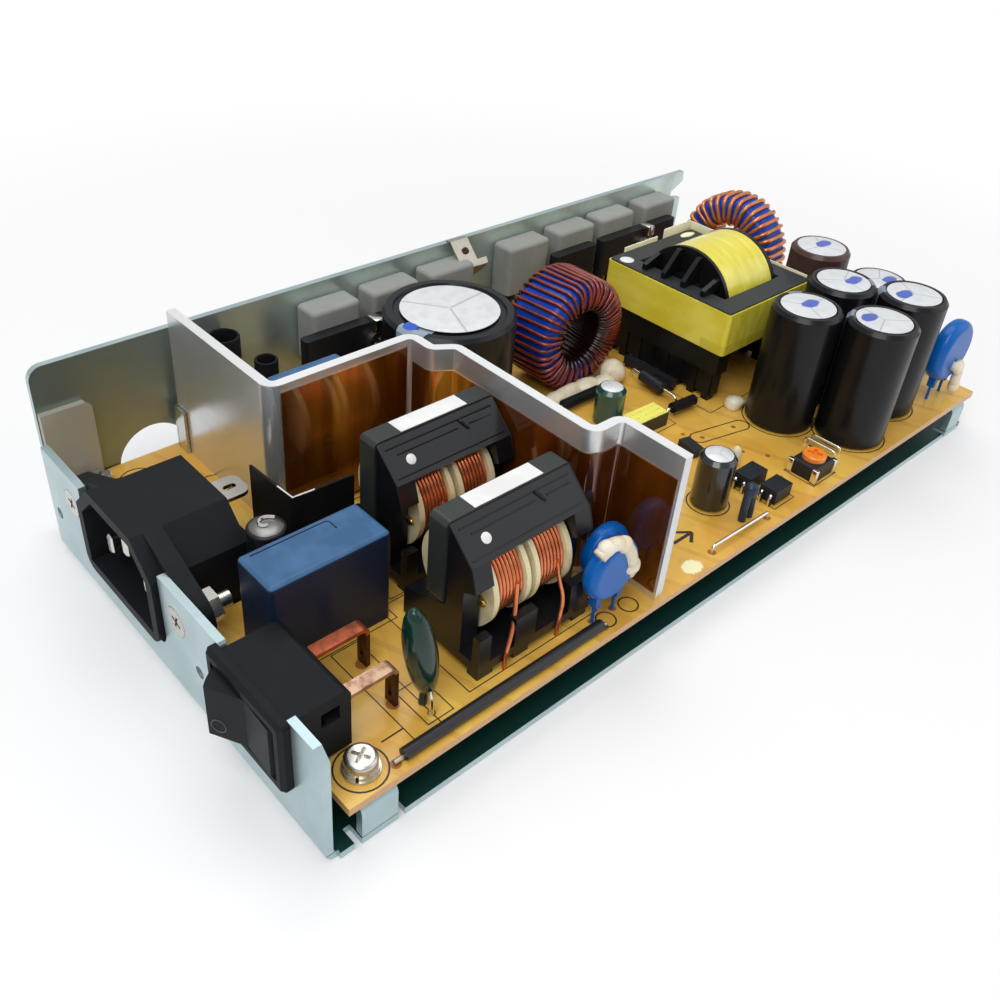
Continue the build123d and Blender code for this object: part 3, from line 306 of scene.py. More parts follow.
def board_laminate():
    """Golden laminate: hidden tracks, tinned spots round the holes and a greenish underside."""
    f = Finish("board_laminate", tone(228, 184, 84), 0.36, Coat_Weight=0.35, Coat_Roughness=0.14)
    x, y, z = f.axes()
    weave = f.noise(2.2, 3, 0.6, stretch=(1, 0.3, 1))
    clouds = f.noise(0.06, 3)
    top = f.blend(clouds.step(0.3, 0.7), tone(216, 164, 64), tone(232, 188, 84))
    tracks = (f.noise(0.11, 0, stretch=(1, 0.45, 0)) > 0.5) * 0.22
    lanes = ((x * 0.55 + y * 0.2).sine() > 0.93) * 0.25
    top = f.blend(tracks, top, tone(186, 130, 46))
    top = f.blend(lanes, top, tone(172, 118, 40))
    spots = any_of(away_from(x, y, (along, across)) < radius * 0.75 for along, across, radius in PADS)
    top = f.blend(spots * 0.8, top, tone(132, 62, 26))
    px, py = x - PALE_DROP[0], y - PALE_DROP[1]
    pale = 1.0 - ((px * px * 0.5 + py * py * 0.8).root() + (weave - 0.5) * 1.2).step(1.4, 1.9)
    top = f.blend(pale, top, tone(246, 240, 190))
    edge = f.blend(weave, tone(186, 126, 66), tone(222, 176, 116))
    side = f.blend(z > BOARD_TOP - BOARD_DEPTH + 0.02, tone(20, 70, 52), edge)
    f.set(Base_Color=f.blend(z > BOARD_TOP - 0.06, side, top))
    f.set(Roughness=0.32 + 0.12 * weave)
    f.bump(weave, 0.05, 0.0001)
    return f.material


def metal(name, colour, roughness, strength=0.05, stain=None):
    """Bare or plated metal with fine scratches and, if asked, stains."""
    f = Finish(name, colour, roughness, Metallic=1.0)
    scratches = f.noise(2.0, 4, 0.65)
    base = f.blend(scratches.step(0.35, 0.75) * 0.5, colour, scaled(colour, 0.72))
    if stain:
        base = f.blend(f.noise(0.15, 3).step(0.5, 0.72) * 0.6, base, tone(*stain))
    f.set(Base_Color=base, Roughness=roughness - 0.06 + 0.16 * scratches)
    f.bump(scratches, strength, 0.0001)
    return f.material


def terminal_strip():
    """Stained copper: the nearer strip is paler and the feet are dark."""
    f = Finish("copper_strip", tone(190, 120, 90), 0.36, Metallic=0.85)
    _, y, z = f.axes()
    clouds = f.noise(0.5, 4, 0.65)
    paint = f.blend(y > STRIPS_BETWEEN, tone(196, 164, 138), tone(196, 104, 70))
    paint = f.blend(clouds.step(0.4, 0.66) * 0.7, paint, tone(122, 70, 50))
    f.set(Base_Color=f.blend(z < STRIP_FEET, paint, tone(74, 44, 34)), Roughness=0.28 + 0.2 * clouds)
    return f.material


def moulded(name, colour, roughness, grain=1.6, strength=0.12, coat=0.0, shine=0.3):
    """Moulded plastic, paper or lacquer: fine grain and an uneven gloss."""
    f = Finish(name, colour, roughness, Coat_Weight=coat, Coat_Roughness=0.08, Specular_IOR_Level=shine)
    clouds = f.noise(0.12, 4, 0.6)
    paler = tuple(min(1.0, c * 1.3 + 0.004) for c in colour)
    base = f.blend(clouds.step(0.4, 0.75) * 0.5, colour, paler)
    f.set(Base_Color=base, Roughness=roughness - 0.05 + 0.14 * clouds)
    f.bump(f.noise(grain, 4, 0.6), strength, 0.0001)
    return f.material


def amber_film():
    """Amber film over the metal: dark, with golden bands of painted highlight beside the bends, stronger higher up."""
    f = Finish("amber_film", tone(140, 78, 14), 0.12, Metallic=0.5, Coat_Weight=1.0, Coat_Roughness=0.03)
    x, y, z = f.axes()
    clouds = f.noise(0.07, 3, 0.6, stretch=(1, 1, 0.3))
    bands = f.noise(0.32, 2, 0.5, stretch=(1, 1, 0.03))
    deep = f.blend(clouds.step(0.3, 0.75), tone(88, 42, 6), tone(150, 80, 12))
    far_piece = x.step(33, 49) * (1 - x.step(49, 58)) * (y > FILM_BETWEEN)
    near_piece = y.step(44, 49) * (1 - y.step(53, 56)) * (y < FILM_BETWEEN)
    # Painted highlight: golden glow beside the bends, growing stronger higher up
    gold = (far_piece * 0.55).most(near_piece * 0.9) * (0.35 + 0.65 * bands.step(0.3, 0.65))
    f.set(Base_Color=f.blend(gold * z.step(16, 32), deep, tone(232, 156, 50)))
    bubbles = f.cells(0.3).step(0.02, 0.07)
    f.bump(clouds + bubbles * 0.15 + bands * 0.3, 0.05, 0.0003)
    return f.material


def polished_sheet():
    """Rolled aluminium: the first stretch is polished like a mirror, the rest is brushed."""
    f = Finish("sink_aluminium", tone(214, 216, 219), 0.3, Metallic=0.78)
    x, y, z = f.axes()
    brushed = f.noise(2.0, 4, 0.65, stretch=(0.3, 0.3, 3.0))
    clouds = f.noise(0.08, 3)
    mirror = (x < MIRROR_END) * (y > FILM_BETWEEN + 2)
    # Painted highlight: the top edge is painted paler than the sheet; it is also rougher
    rim = z > SINK_TOP - 0.1
    paint = f.blend(brushed.step(0.35, 0.75) * 0.3, tone(220, 221, 221), tone(188, 189, 190))
    paint = f.blend(mirror * clouds.step(0.35, 0.7) * 0.3, paint, tone(186, 182, 164))
    f.set(Base_Color=f.blend(rim, paint, tone(238, 240, 240)))
    f.set(Roughness=0.25 + 0.1 * brushed - mirror * 0.05 + rim * 0.14)
    f.bump(brushed, 0.05, 0.0001)
    return f.material


def lacquered_wire(name, colour, dark, roughness, metallic, hollow=None):
    """Lacquered wire; hollow is the node whose hole is in shade."""
    f = Finish(name, colour, roughness, Metallic=metallic, Coat_Weight=0.4, Coat_Roughness=0.1)
    turns = f.noise(0.35, 2, 0.6)
    paint = f.blend(turns.step(0.35, 0.75), colour, dark)
    if hollow:
        low, high = node_corners(hollow)
        x, _, z = f.axes()
        away = away_from(x, z, ((low + high) / 2).xz)
        paint = f.blend(away.step(6.8, 10.0), scaled(dark, 0.16), paint)
    f.set(Base_Color=paint, Roughness=roughness - 0.04 + 0.12 * turns)
    return f.material


def yellow_tape():
    """Glossy yellow tape with fine wrinkles, in shade low on the nearer side."""
    f = Finish("yellow_tape", tone(222, 206, 58), 0.27, Coat_Weight=0.5, Coat_Roughness=0.14)
    _, y, z = f.axes()
    wrinkles = f.noise(0.4, 3, 0.5, stretch=(1.4, 0.25, 0.6))
    base = f.blend(wrinkles.step(0.35, 0.75), tone(226, 212, 60), tone(240, 230, 96))
    shade = (y < TAPE_SHADE[0]) * (z < TAPE_SHADE[1]) * 0.25
    f.set(Base_Color=f.blend(shade, base, tone(150, 140, 40)))
    f.bump(wrinkles, 0.07, 0.0003)
    return f.material


def spool_cream():
    """Cream plastic with faint yellow clouds."""
    f = Finish("spool_cream", tone(226, 212, 166), 0.42, Coat_Weight=0.15)
    clouds = f.noise(0.3, 3)
    f.set(Base_Color=f.blend(clouds.step(0.4, 0.8), tone(230, 218, 176), tone(204, 186, 132)))
    f.bump(f.noise(1.4, 3), 0.08, 0.0001)
    return f.material


def print_ink(colour):
    """Printed lines, worn in places."""
    f = Finish("outline_ink", colour, 0.5)
    wear = f.noise(1.6, 3)
    f.set(Base_Color=f.blend(wear.step(0.62, 0.8) * 0.4, colour, tone(170, 135, 70)))
    return f.material


def sleeve(name, colour, stripes=None, width=0.0, reach=0.0, share=1.0):
    """Shrunk sleeve with an uneven gloss; stripes names the cans with a pale stripe and the way that it faces."""
    f = Finish(name, colour, 0.3, Coat_Weight=0.12, Coat_Roughness=0.1, Specular_IOR_Level=0.2)
    x, y, _ = f.axes()
    clouds = f.noise(0.2, 3)
    base = f.blend(clouds.step(0.4, 0.8) * 0.5, colour, scaled(colour, 1.2, 0.002))
    masks = []
    for can, angle in (stripes or {}).items():
        centre = CANS[can][0]
        ca, sa = math.cos(math.radians(angle)), math.sin(math.radians(angle))
        dx, dy = x - centre[0], y - centre[1]
        aside, out = dy * ca - dx * sa, dx * ca + dy * sa
        masks.append((abs(aside) < width / 2) * (out > 0) * (away_from(x, y, centre) < reach))
    if masks:
        base = f.blend(any_of(masks) * share, base, tone(150, 164, 178))
    f.set(Base_Color=base, Roughness=0.24 + 0.14 * clouds)
    f.bump(f.noise(0.5, 2), 0.06, 0.0003)
    return f.material


def small_cans():
    """One green can and one black can."""
    f = Finish("small_cans", tone(18, 20, 26), 0.2, Coat_Weight=0.6, Coat_Roughness=0.08)
    y = f.axes()[1]
    f.set(Base_Color=f.blend(y > SMALL_CANS_BETWEEN, tone(18, 20, 26), tone(14, 72, 70)))
    f.set(Roughness=0.18 + 0.1 * f.noise(0.3, 2))
    return f.material


def blue_case(node):
    """Blue box, dark at the sides with painted shade and paler on top."""
    f = Finish(node, tone(60, 100, 148), 0.42, Coat_Weight=0.06, Coat_Roughness=0.1, Specular_IOR_Level=0.3)
    z = f.axes()[2]
    clouds = f.noise(0.2, 3)
    upper = f.blend(clouds.step(0.35, 0.7), tone(50, 90, 130), tone(62, 104, 146))
    # Painted shade: the sides are painted dark navy, the top keeps the paler blue
    lit_top = z > node_corners(node)[1].z - 0.5
    f.set(Base_Color=f.blend(lit_top, tone(14, 30, 54), upper), Roughness=0.36 + 0.14 * clouds)
    f.bump(f.noise(1.6, 4, 0.6), 0.12, 0.0001)
    return f.material


def can_top(name, centre, radius, blot, spin):
    """Bright end of a can: three scored lines and, if blot gives its place in radii, a blue ink mark."""
    bright = tone(226, 229, 232)
    f = Finish(name, bright, 0.36, Metallic=0.2)
    x, y, _ = f.axes()
    dx, dy = x - centre[0], y - centre[1]
    scores = []
    for turn in (0, 120, 240):
        angle = math.radians(spin + turn)
        ca, sa = math.cos(angle), math.sin(angle)
        scores.append((abs(dx * sa - dy * ca) < 0.024 * radius) * ((dx * ca + dy * sa) > 0.02 * radius))
    scored = any_of(scores)
    clouds = f.noise(0.35, 3)
    paint = f.blend(clouds.step(0.4, 0.7), bright, scaled(bright, 0.9))
    paint = f.blend(scored * 0.45, paint, tone(132, 134, 138))
    if blot:
        bx, by = dx - blot[0] * radius, dy - blot[1] * radius
        spread = (bx * bx * 0.5 + by * by * 1.5).root() + (clouds - 0.5) * 0.3 * radius
        ink = (1.0 - spread.step(0.26 * radius, 0.34 * radius)) * (away_from(x, y, centre) < 0.92 * radius)
        paint = f.blend(ink * 0.92, paint, tone(34, 80, 190))
    f.set(Base_Color=paint)
    f.bump(0.6 * (1.0 - scored) + 0.1 * clouds, 0.4, 0.0003)
    return f.material


def jumper_sleeve():
    """Black sleeve with tinned ends."""
    f = Finish("jumper_sleeve", tone(26, 26, 30), 0.38)
    x = f.axes()[0]
    bare = (x < JUMPER_BARE[0]).most(x > JUMPER_BARE[1])
    f.set(Base_Color=f.blend(bare, tone(26, 26, 30), tone(190, 186, 176)), Metallic=bare)
    f.bump(f.noise(1.0, 3), 0.12, 0.0001)
    return f.material


def label_box():
    """Black box under a yellow-green label with bare lines."""
    f = Finish("label_box", tone(26, 28, 30), 0.36)
    _, y, z = f.axes()
    print_rows = ((y * 3.6).sine() > 0.55) * (f.noise(1.8, 1, stretch=(1, 0.1, 1)) > 0.52)
    paper = f.blend(print_rows * 0.25, tone(240, 236, 110), tone(120, 116, 60))
    f.set(Base_Color=f.blend(z > LABEL_FOOT, tone(26, 28, 30), paper))
    return f.material


METALS = {
    # Name: colour, roughness, bump, colour of its stains
    "nickel_plate": ((205, 203, 196), 0.26, 0.04),
    "clip_spring": ((176, 172, 160), 0.3, 0.05, (84, 78, 66)),
    "bright_metal": ((228, 227, 222), 0.16, 0.01),
    "tinned_wire": ((232, 230, 224), 0.16, 0.01),
    "pin_metal": ((216, 212, 204), 0.2, 0.01),
    "dull_cap": ((128, 128, 126), 0.3),
    "golden_solder": ((206, 168, 96), 0.24),
}

PLASTICS = {
    # Name: colour, roughness, grain, bump, coat, shine
    "charcoal_plastic": ((21, 24, 28), 0.55, 2.4, 0.2, 0.0, 0.15),
    "ferrite_lacquer": ((42, 48, 46), 0.36, 1.4, 0.25, 0.1),
    "frame_plastic": ((12, 15, 20), 0.3, 1.0, 0.05, 0.15),
    # Painted shade, drawn as dark pieces in gaps and holes
    "dark_gap": ((52, 24, 14), 0.6),
    "core_blue": ((6, 62, 168), 0.3, 0.8, 0.06, 0.15, 0.15),
    "green_dip": ((7, 46, 38), 0.12, 0.5, 0.03, 0.3, 0.25),
    "disc_blue": ((0, 92, 174), 0.3, 0.5, 0.05, 0.15, 0.2),
    "pale_tape": ((238, 232, 200), 0.45, 1.0, 0.1),
    "package_dark": ((26, 30, 38), 0.44, 1.8),
    "tube_black": ((16, 17, 20), 0.5, 1.0, 0.15, 0.0, 0.15),
    "rocker_plastic": ((18, 21, 24), 0.48, 2.0, 0.1, 0.0, 0.15),
    "rocker_mark": ((84, 88, 90), 0.5),
    "label_paper": ((226, 227, 225), 0.55, 2.0, 0.02),
    "ink_blot": ((44, 84, 190), 0.5),
    "fuse_shell": ((20, 21, 24), 0.34, 1.2),
    "case_shadow": ((14, 30, 54), 0.5),
    "transformer_ferrite": ((44, 48, 50), 0.5, 1.2, 0.2, 0.05),
    "bobbin_black": ((14, 15, 17), 0.36, 1.2, 0.1),
    "boot_grey": ((144, 146, 141), 0.66, 1.2),
    "clamp_black": ((22, 23, 26), 0.44, 1.4, 0.15),
    "trimmer_orange": ((240, 138, 48), 0.3, 1.0, 0.04, 0.4),
    "trimmer_case": ((30, 31, 35), 0.4, 1.2),
    "slate_sleeve": ((34, 48, 64), 0.3, 1.0, 0.1),
}

FINISHES = {}


def finish(kind):
    """A material as it is, or the plain finish of that name, made the first time it is asked for."""
    if not isinstance(kind, str):
        return kind
    if kind not in FINISHES:
        make, table = (metal, METALS) if kind in METALS else (moulded, PLASTICS)
        colour, *details = table[kind]
        FINISHES[kind] = make(kind, tone(*colour), *details)
    return FINISHES[kind]


def dress(kind, *nodes):
    """Puts a finish on CAD nodes."""
    for node in nodes:
        mesh = NODES[node].data
        mesh.materials.clear()
        mesh.materials.append(finish(kind))


# Shapes


def new_piece(name, bm, kind, body="root", stands_for=(), smooth=40, merge=True):
    """Turns a bmesh in metres into a piece that rides on a CAD body."""
    if merge:
        bmesh.ops.remove_doubles(bm, verts=bm.verts, dist=1e-6)
        bmesh.ops.recalc_face_normals(bm, faces=bm.faces)
    mesh = bpy.data.meshes.new(name)
    bm.to_mesh(mesh)
    bm.free()
    mesh.materials.append(finish(kind))
    made = bpy.data.objects.new(name, mesh)
    bpy.context.scene.collection.objects.link(made)
    mesh.shade_smooth()
    if smooth < 180:
        mesh.set_sharp_from_angle(angle=math.radians(smooth))
    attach(made, body)
    if stands_for:
        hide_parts(*stands_for)


def edges_of(verts):
    """The edges that meet at these vertices, each once."""
    return list(dict.fromkeys(edge for vert in verts for edge in vert.link_edges))


def spin_round(bm, verts, edges, centre, axis, steps):
    """Spins an outline through a full circle."""
    bmesh.ops.spin(
        bm, geom=verts + edges, cent=centre, axis=axis, angle=math.tau, steps=steps, use_merge=True,
        use_duplicate=False,
    )


def add_ring(bm, centre, axis, ring_r, wire_r):
    """One closed ring of wire round an axis through a point in metres."""
    verts = bmesh.ops.create_circle(
        bm, cap_ends=False, segments=10, radius=wire_r * MM,
        matrix=Matrix.Translation(centre) @ turn_to(axis) @ Matrix.Translation((ring_r * MM, 0, 0))
        @ Matrix.Rotation(math.pi / 2, 4, "X"),
    )["verts"]
    spin_round(bm, verts, edges_of(verts), centre, axis, 44)


def frame_loop(half_w, half_h, corner, wire_r):
    """A closed turn of wire round a rounded rectangle in the XZ plane, as a mesh."""
    bm = bmesh.new()
    circle = bmesh.ops.create_circle(
        bm, cap_ends=False, segments=6, radius=wire_r, matrix=Matrix.Translation((half_w, 0, 0)),
    )
    edges = edges_of(circle["verts"])
    rise = Vector((0, 0, half_h - corner))
    cross = Vector((-2 * (half_w - corner), 0, 0))
    centre = Vector((half_w - corner, 0, half_h - corner))
    moves = [(rise, centre), (cross, Vector((-centre.x, 0, centre.z))),
             (-2 * rise, Vector((-centre.x, 0, -centre.z))), (-cross, Vector((centre.x, 0, -centre.z))), (rise, None)]
    for move, pivot in moves:
        grown = bmesh.ops.extrude_edge_only(bm, edges=edges)["geom"]
        verts = [item for item in grown if isinstance(item, bmesh.types.BMVert)]
        edges = [item for item in grown if isinstance(item, bmesh.types.BMEdge)]
        bmesh.ops.translate(bm, vec=move, verts=verts)
        if pivot is not None:
            last = bmesh.ops.spin(
                bm, geom=verts + edges, cent=pivot, axis=(0, -1, 0), angle=math.pi / 2, steps=4,
                use_duplicate=False,
            )["geom_last"]
            edges = [item for item in last if isinstance(item, bmesh.types.BMEdge)]
    bmesh.ops.remove_doubles(bm, verts=bm.verts, dist=1e-4)
    mesh = bpy.data.meshes.new("turn")
    bm.to_mesh(mesh)
    bm.free()
    return mesh


def add_wire(bm, points, radius, sides=2, closed=False, straight=False):
    """A round wire along points in millimetres, as a smooth curve or straight from point to point."""
    curve = bpy.data.curves.new("wire", "CURVE")
    curve.dimensions = "3D"
    curve.bevel_depth = radius * MM
    curve.bevel_resolution = sides
    curve.use_fill_caps = not closed
    curve.resolution_u = 6
    spline = curve.splines.new("POLY" if straight else "NURBS")
    spline.points.add(len(points) - 1)
    for point, place in zip(spline.points, points):
        point.co = (*spot(*place), 1.0)
    if not straight:
        spline.order_u = 3
        spline.use_endpoint_u = not closed
    spline.use_cyclic_u = closed
    holder = bpy.data.objects.new("wire", curve)
    mesh = bpy.data.meshes.new_from_object(holder)
    bm.from_mesh(mesh)
    bpy.data.objects.remove(holder)
    bpy.data.meshes.remove(mesh)


def add_block(bm, low, high, bevel=0.0):
    """A box between two corners in millimetres, its edges bevelled."""
    low, high = spot(*low), spot(*high)
    matrix = Matrix.Translation((low + high) / 2) @ Matrix.Diagonal((*(high - low), 1))
    made = bmesh.ops.create_cube(bm, size=1.0, matrix=matrix)
    if bevel:
        bmesh.ops.bevel(
            bm, geom=edges_of(made["verts"]), offset=bevel * MM, offset_type="OFFSET", affect="EDGES", segments=2,
            profile=0.5, material=-1,
        )


def add_strip(bm, left, right, path, thickness):
    """A bent sheet strip between two places along, following (across, up) points in millimetres."""
    rows = [[bm.verts.new(spot(along, across, up)) for along in (left, right)] for across, up in path]
    faces = [bm.faces.new((a[0], a[1], b[1], b[0])) for a, b in zip(rows, rows[1:])]
    bmesh.ops.solidify(bm, geom=faces, thickness=thickness * MM)


def add_lathe(bm, centre, profile, steps, axis=(0, 0, 1)):
    """Spins a profile of (radius, height) in millimetres about an axis through a point in metres."""
    place = Matrix.Translation(centre) @ turn_to(axis)
    verts = [bm.verts.new(place @ (Vector((r, 0, h)) * MM)) for r, h in profile]
    edges = [bm.edges.new(pair) for pair in zip(verts, verts[1:])]
    spin_round(bm, verts, edges, centre, axis, steps)


def add_blob(bm, centre, size, seed, lumps=0.18, lean=0.0):
    """A sphere pushed about by a few slow waves, stretched to a size and leaning along the tray."""
    made = bmesh.ops.create_icosphere(bm, subdivisions=3, radius=1.0)
    for vert in made["verts"]:
        x, y, z = vert.co
        wave = math.sin(3.1 * x + seed) + math.sin(2.7 * y + 1.7 * seed) + math.sin(3.7 * z + 0.6 * seed + 2 * x)
        vert.co *= 1 + lumps * wave / 3
    shear = Matrix.Identity(4)
    shear[0][2] = lean
    matrix = Matrix.Translation(spot(*centre)) @ shear @ Matrix.Diagonal((*(Vector(size) * MM), 1))
    bmesh.ops.transform(bm, matrix=matrix, verts=made["verts"])


def lathe_piece(name, kind, centre, profile, steps, axis=(0, 0, 1), smooth=40):
    """A piece that is one spun profile."""
    bm = bmesh.new()
    add_lathe(bm, centre, profile, steps, axis)
    new_piece(name, bm, kind, smooth=smooth)


def wire_piece(name, kind, points, radius, body="root", **settings):
    """A piece that is one wire."""
    bm = bmesh.new()
    add_wire(bm, points, radius, **settings)
    new_piece(name, bm, kind, body)


# Sizes and colours that a user may change


class BoardLooks(bpy.types.PropertyGroup):
    """Windings and colours of the board"""

    choke_turns: IntProperty(
        name="Choke turns", description="Turns of wire in each half of a choke winding", default=8, min=4, max=20,
    )
    choke_wire: FloatProperty(
        name="Choke wire", description="Radius of the choke wire", default=0.00035, unit="LENGTH",
    )
    toroid_turns: IntProperty(
        name="Toroid turns", description="Turns of wire on the nearer toroid", default=72, min=10, max=90,
    )
    toroid_wire: FloatProperty(
        name="Toroid wire", description="Radius of the wire on the nearer toroid", default=0.00045, unit="LENGTH",
    )
    ink: FloatVectorProperty(
        name="Outline print", description="Colour of the printed outlines", subtype="COLOR", default=tone(40, 32, 20),
    )
    glue: FloatVectorProperty(
        name="Glue", description="Colour of the glue", subtype="COLOR", default=tone(238, 229, 208),
    )


class StageLooks(bpy.types.PropertyGroup):
    """Lamps of the stage"""

    key_light: FloatProperty(name="Key light", description="Power of the main lamp", default=4.2, unit="POWER")
    fill_light: FloatProperty(name="Fill light", description="Power of the fill lamp", default=1.4, unit="POWER")
    top_light: FloatProperty(name="Top light", description="Power of the lamp overhead", default=2.8, unit="POWER")


class MakeTray(bpy.types.Operator):
    """Finishes the sheet metal tray and its screws, and folds the clip on the wall"""

    bl_idname = "powerboard.tray"
    bl_label = "Tray"
    bl_options = {"REGISTER", "UNDO"}

    def execute(self, context):
        dress(zinc_sheet(), "chassis")
        dress("nickel_plate", "board_screws", "flat_washers", "spring_washers", "inlet_screws", "inlet_nuts",
              "clamp_screws", "heat_sink_clip")
        # The clip hangs over the wall's edge, with a round hole in its lower leaf
        clip = bmesh.new()
        leaf = [(95.4, 31.6), (98.9, 28.2)]
        hook = [(101.2, 36.6), (100.9, 38.6), (99.4, 38.7), (95.4, 34.6), (94.6, 33.0)]
        add_strip(clip, 107.4, 113.0, hook + leaf, 0.5)
        add_strip(clip, 113.0, 116.4, [(95.6, 34.2), (94.8, 32.8)] + leaf, 0.5)
        new_piece("folded_clip", clip, "clip_spring", stands_for=["spring_clip"])
        # Painted shade: the hole is a dark disc on the leaf
        lathe_piece("clip_hole", "dark_gap", spot(110.6, 97.0, 36.6), [(0, 0.06), (0.9, 0.06), (0.9, -0.5)], 20,
                    (0, -0.716, 0.698))
        return {"FINISHED"}


class MakeInlet(bpy.types.Operator):
    """Finishes the mains inlet and the rocker switch"""

    bl_idname = "powerboard.inlet"
    bl_label = "Inlet and switch"
    bl_options = {"REGISTER", "UNDO"}

    def execute(self, context):
        dress("charcoal_plastic", "inlet_housing", "switch_housing")
        dress("rocker_plastic", "switch_rocker")
        # A moulded circle on the rocker's flat end
        points = [(-4.3 + 0.62 * c, 22.3 - 1.14 * c, 14.8 + 1.3 * s) for c, s in round_steps(24)]
        wire_piece("rocker_mark", "rocker_mark", points, 0.1, "rocker", sides=1, closed=True, straight=True)
        dress("pin_metal", "inlet_pins", "inlet_earth_lug")
        dress(terminal_strip(), "switch_terminals")
        return {"FINISHED"}


class MakeHeatSink(bpy.types.Operator):
    """Finishes the bent aluminium strip and its film"""

    bl_idname = "powerboard.heat_sink"
    bl_label = "Heat sink"
    bl_options = {"REGISTER", "UNDO"}

    def execute(self, context):
        dress(polished_sheet(), "heat_sink_plate")
        dress(amber_film(), "insulating_film")
        return {"FINISHED"}


# Printed circles with 28 sides: along, across, radius
PRINTED_RINGS = (
    (17.5, 92.5, 4.0), (9.9, 5.0, 4.4), (197.0, 94.5, 4.4), (108.1, 13.6, 4.6), (64.3, 3.3, 1.9), (70.6, 3.4, 1.9),
    (34.0, 88.7, 3.0), (29.0, 81.6, 3.4), (42.5, 95.6, 3.6),
)
# Opposite corners of the printed rectangles
PRINTED_BOXES = (
    ((33.2, 6.0), (64.8, 31.2)), ((36.6, 31.8), (67.2, 51.6)), ((8.8, 27.4), (34.6, 39.4)),
    ((23.4, 5.0), (28.8, 13.6)), ((117.0, 9.4), (124.8, 15.2)), ((117.8, 3.2), (125.0, 8.8)),
    ((131.8, 2.6), (140.6, 10.4)), ((111.8, 37.6), (127.0, 45.2)), ((137.4, 35.4), (175.8, 77.0)),
    ((19.8, 3.6), (25.4, 27.0)),
)
PRINT_LEVEL = BOARD_TOP + 0.02
PRINT_LINE = 0.16
ARROW_LINE = 0.38


class MakeBoard(bpy.types.Operator):
    """Finishes the circuit board and prints its outlines"""

    bl_idname = "powerboard.board"
    bl_label = "Circuit board"
    bl_options = {"REGISTER", "UNDO"}

    def execute(self, context):
        looks = context.scene.board_looks
        dress(board_laminate(), "circuit_board")
        bm = bmesh.new()

        def line(points, closed=False, radius=PRINT_LINE):
            add_wire(bm, [(a, c, PRINT_LEVEL) for a, c in points], radius, sides=0, straight=True, closed=closed)

        def ring(along, across, radius, count=28):
            line([(along + radius * c, across + radius * s) for c, s in round_steps(count)], True)

        def arc(along, across, first):
            angles = [math.radians(a) for a in range(first, first + 200, 20)]
            return [(along + 2 * math.cos(a), across + 2 * math.sin(a)) for a in angles]

        for place in PRINTED_RINGS:
            ring(*place)
        ring(*CANS["bulk_top"][0], 15.7, 60)
        for name in STRIPES:
            ring(*CANS[name][0], 8.5, 40)
        for low, high in PRINTED_BOXES:
            line([low, (high[0], low[1]), high, (low[0], high[1])], True)
        line(arc(126.5, 30.4, 80) + arc(139.2, 27.6, -100), True)
        line([(15.4, 7.0), (19.8, 7.0)])
        line([(27.6, 33.0), (27.6, 60.0), (66.6, 60.0)])
        # Thick arrow that shows the way of soldering
        for points in (((91.5, 9.4), (97.0, 9.4)), ((94.6, 11.4), (97.3, 9.4)), ((94.6, 7.4), (97.3, 9.4))):
            line(points, radius=ARROW_LINE)
        # Ink is nearly flat
        for vert in bm.verts:
            vert.co.z = (PRINT_LEVEL + (vert.co.z / MM - PRINT_LEVEL) * 0.05) * MM
        new_piece("board_outlines", bm, print_ink(tuple(looks.ink)), merge=False)
        return {"FINISHED"}


# The way that a choke's sloping hood faces, its winding's axis and its outer radius
HOOD_UP = (0, -0.676, 0.737)
CHOKE_AXIS_UP = 24
CHOKE_OUTER = 8.7
# Paths of the two leads: along from the left end, across before the middle, up
CHOKE_LEADS = (
    ((10.8, 8.7, 25.5), (10.4, 9.2, 22.0), (9.0, 10.6, 18.5), (7.0, 11.6, 15.0), (6.4, 11.8, 12.5),
     (6.4, 11.8, 10.4)),
    ((20.6, 8.7, 25.0), (20.8, 9.2, 21.6), (21.2, 10.8, 17.6), (19.6, 11.6, 13.6), (19.2, 11.8, 10.4)),
)


def choke_spots():
    """Each choke's name, its left end and its middle across."""
    for name in ("near_choke", "far_choke"):
        low, high = node_corners(name + "_core")
        yield name, low.x, (low.y + high.y) / 2


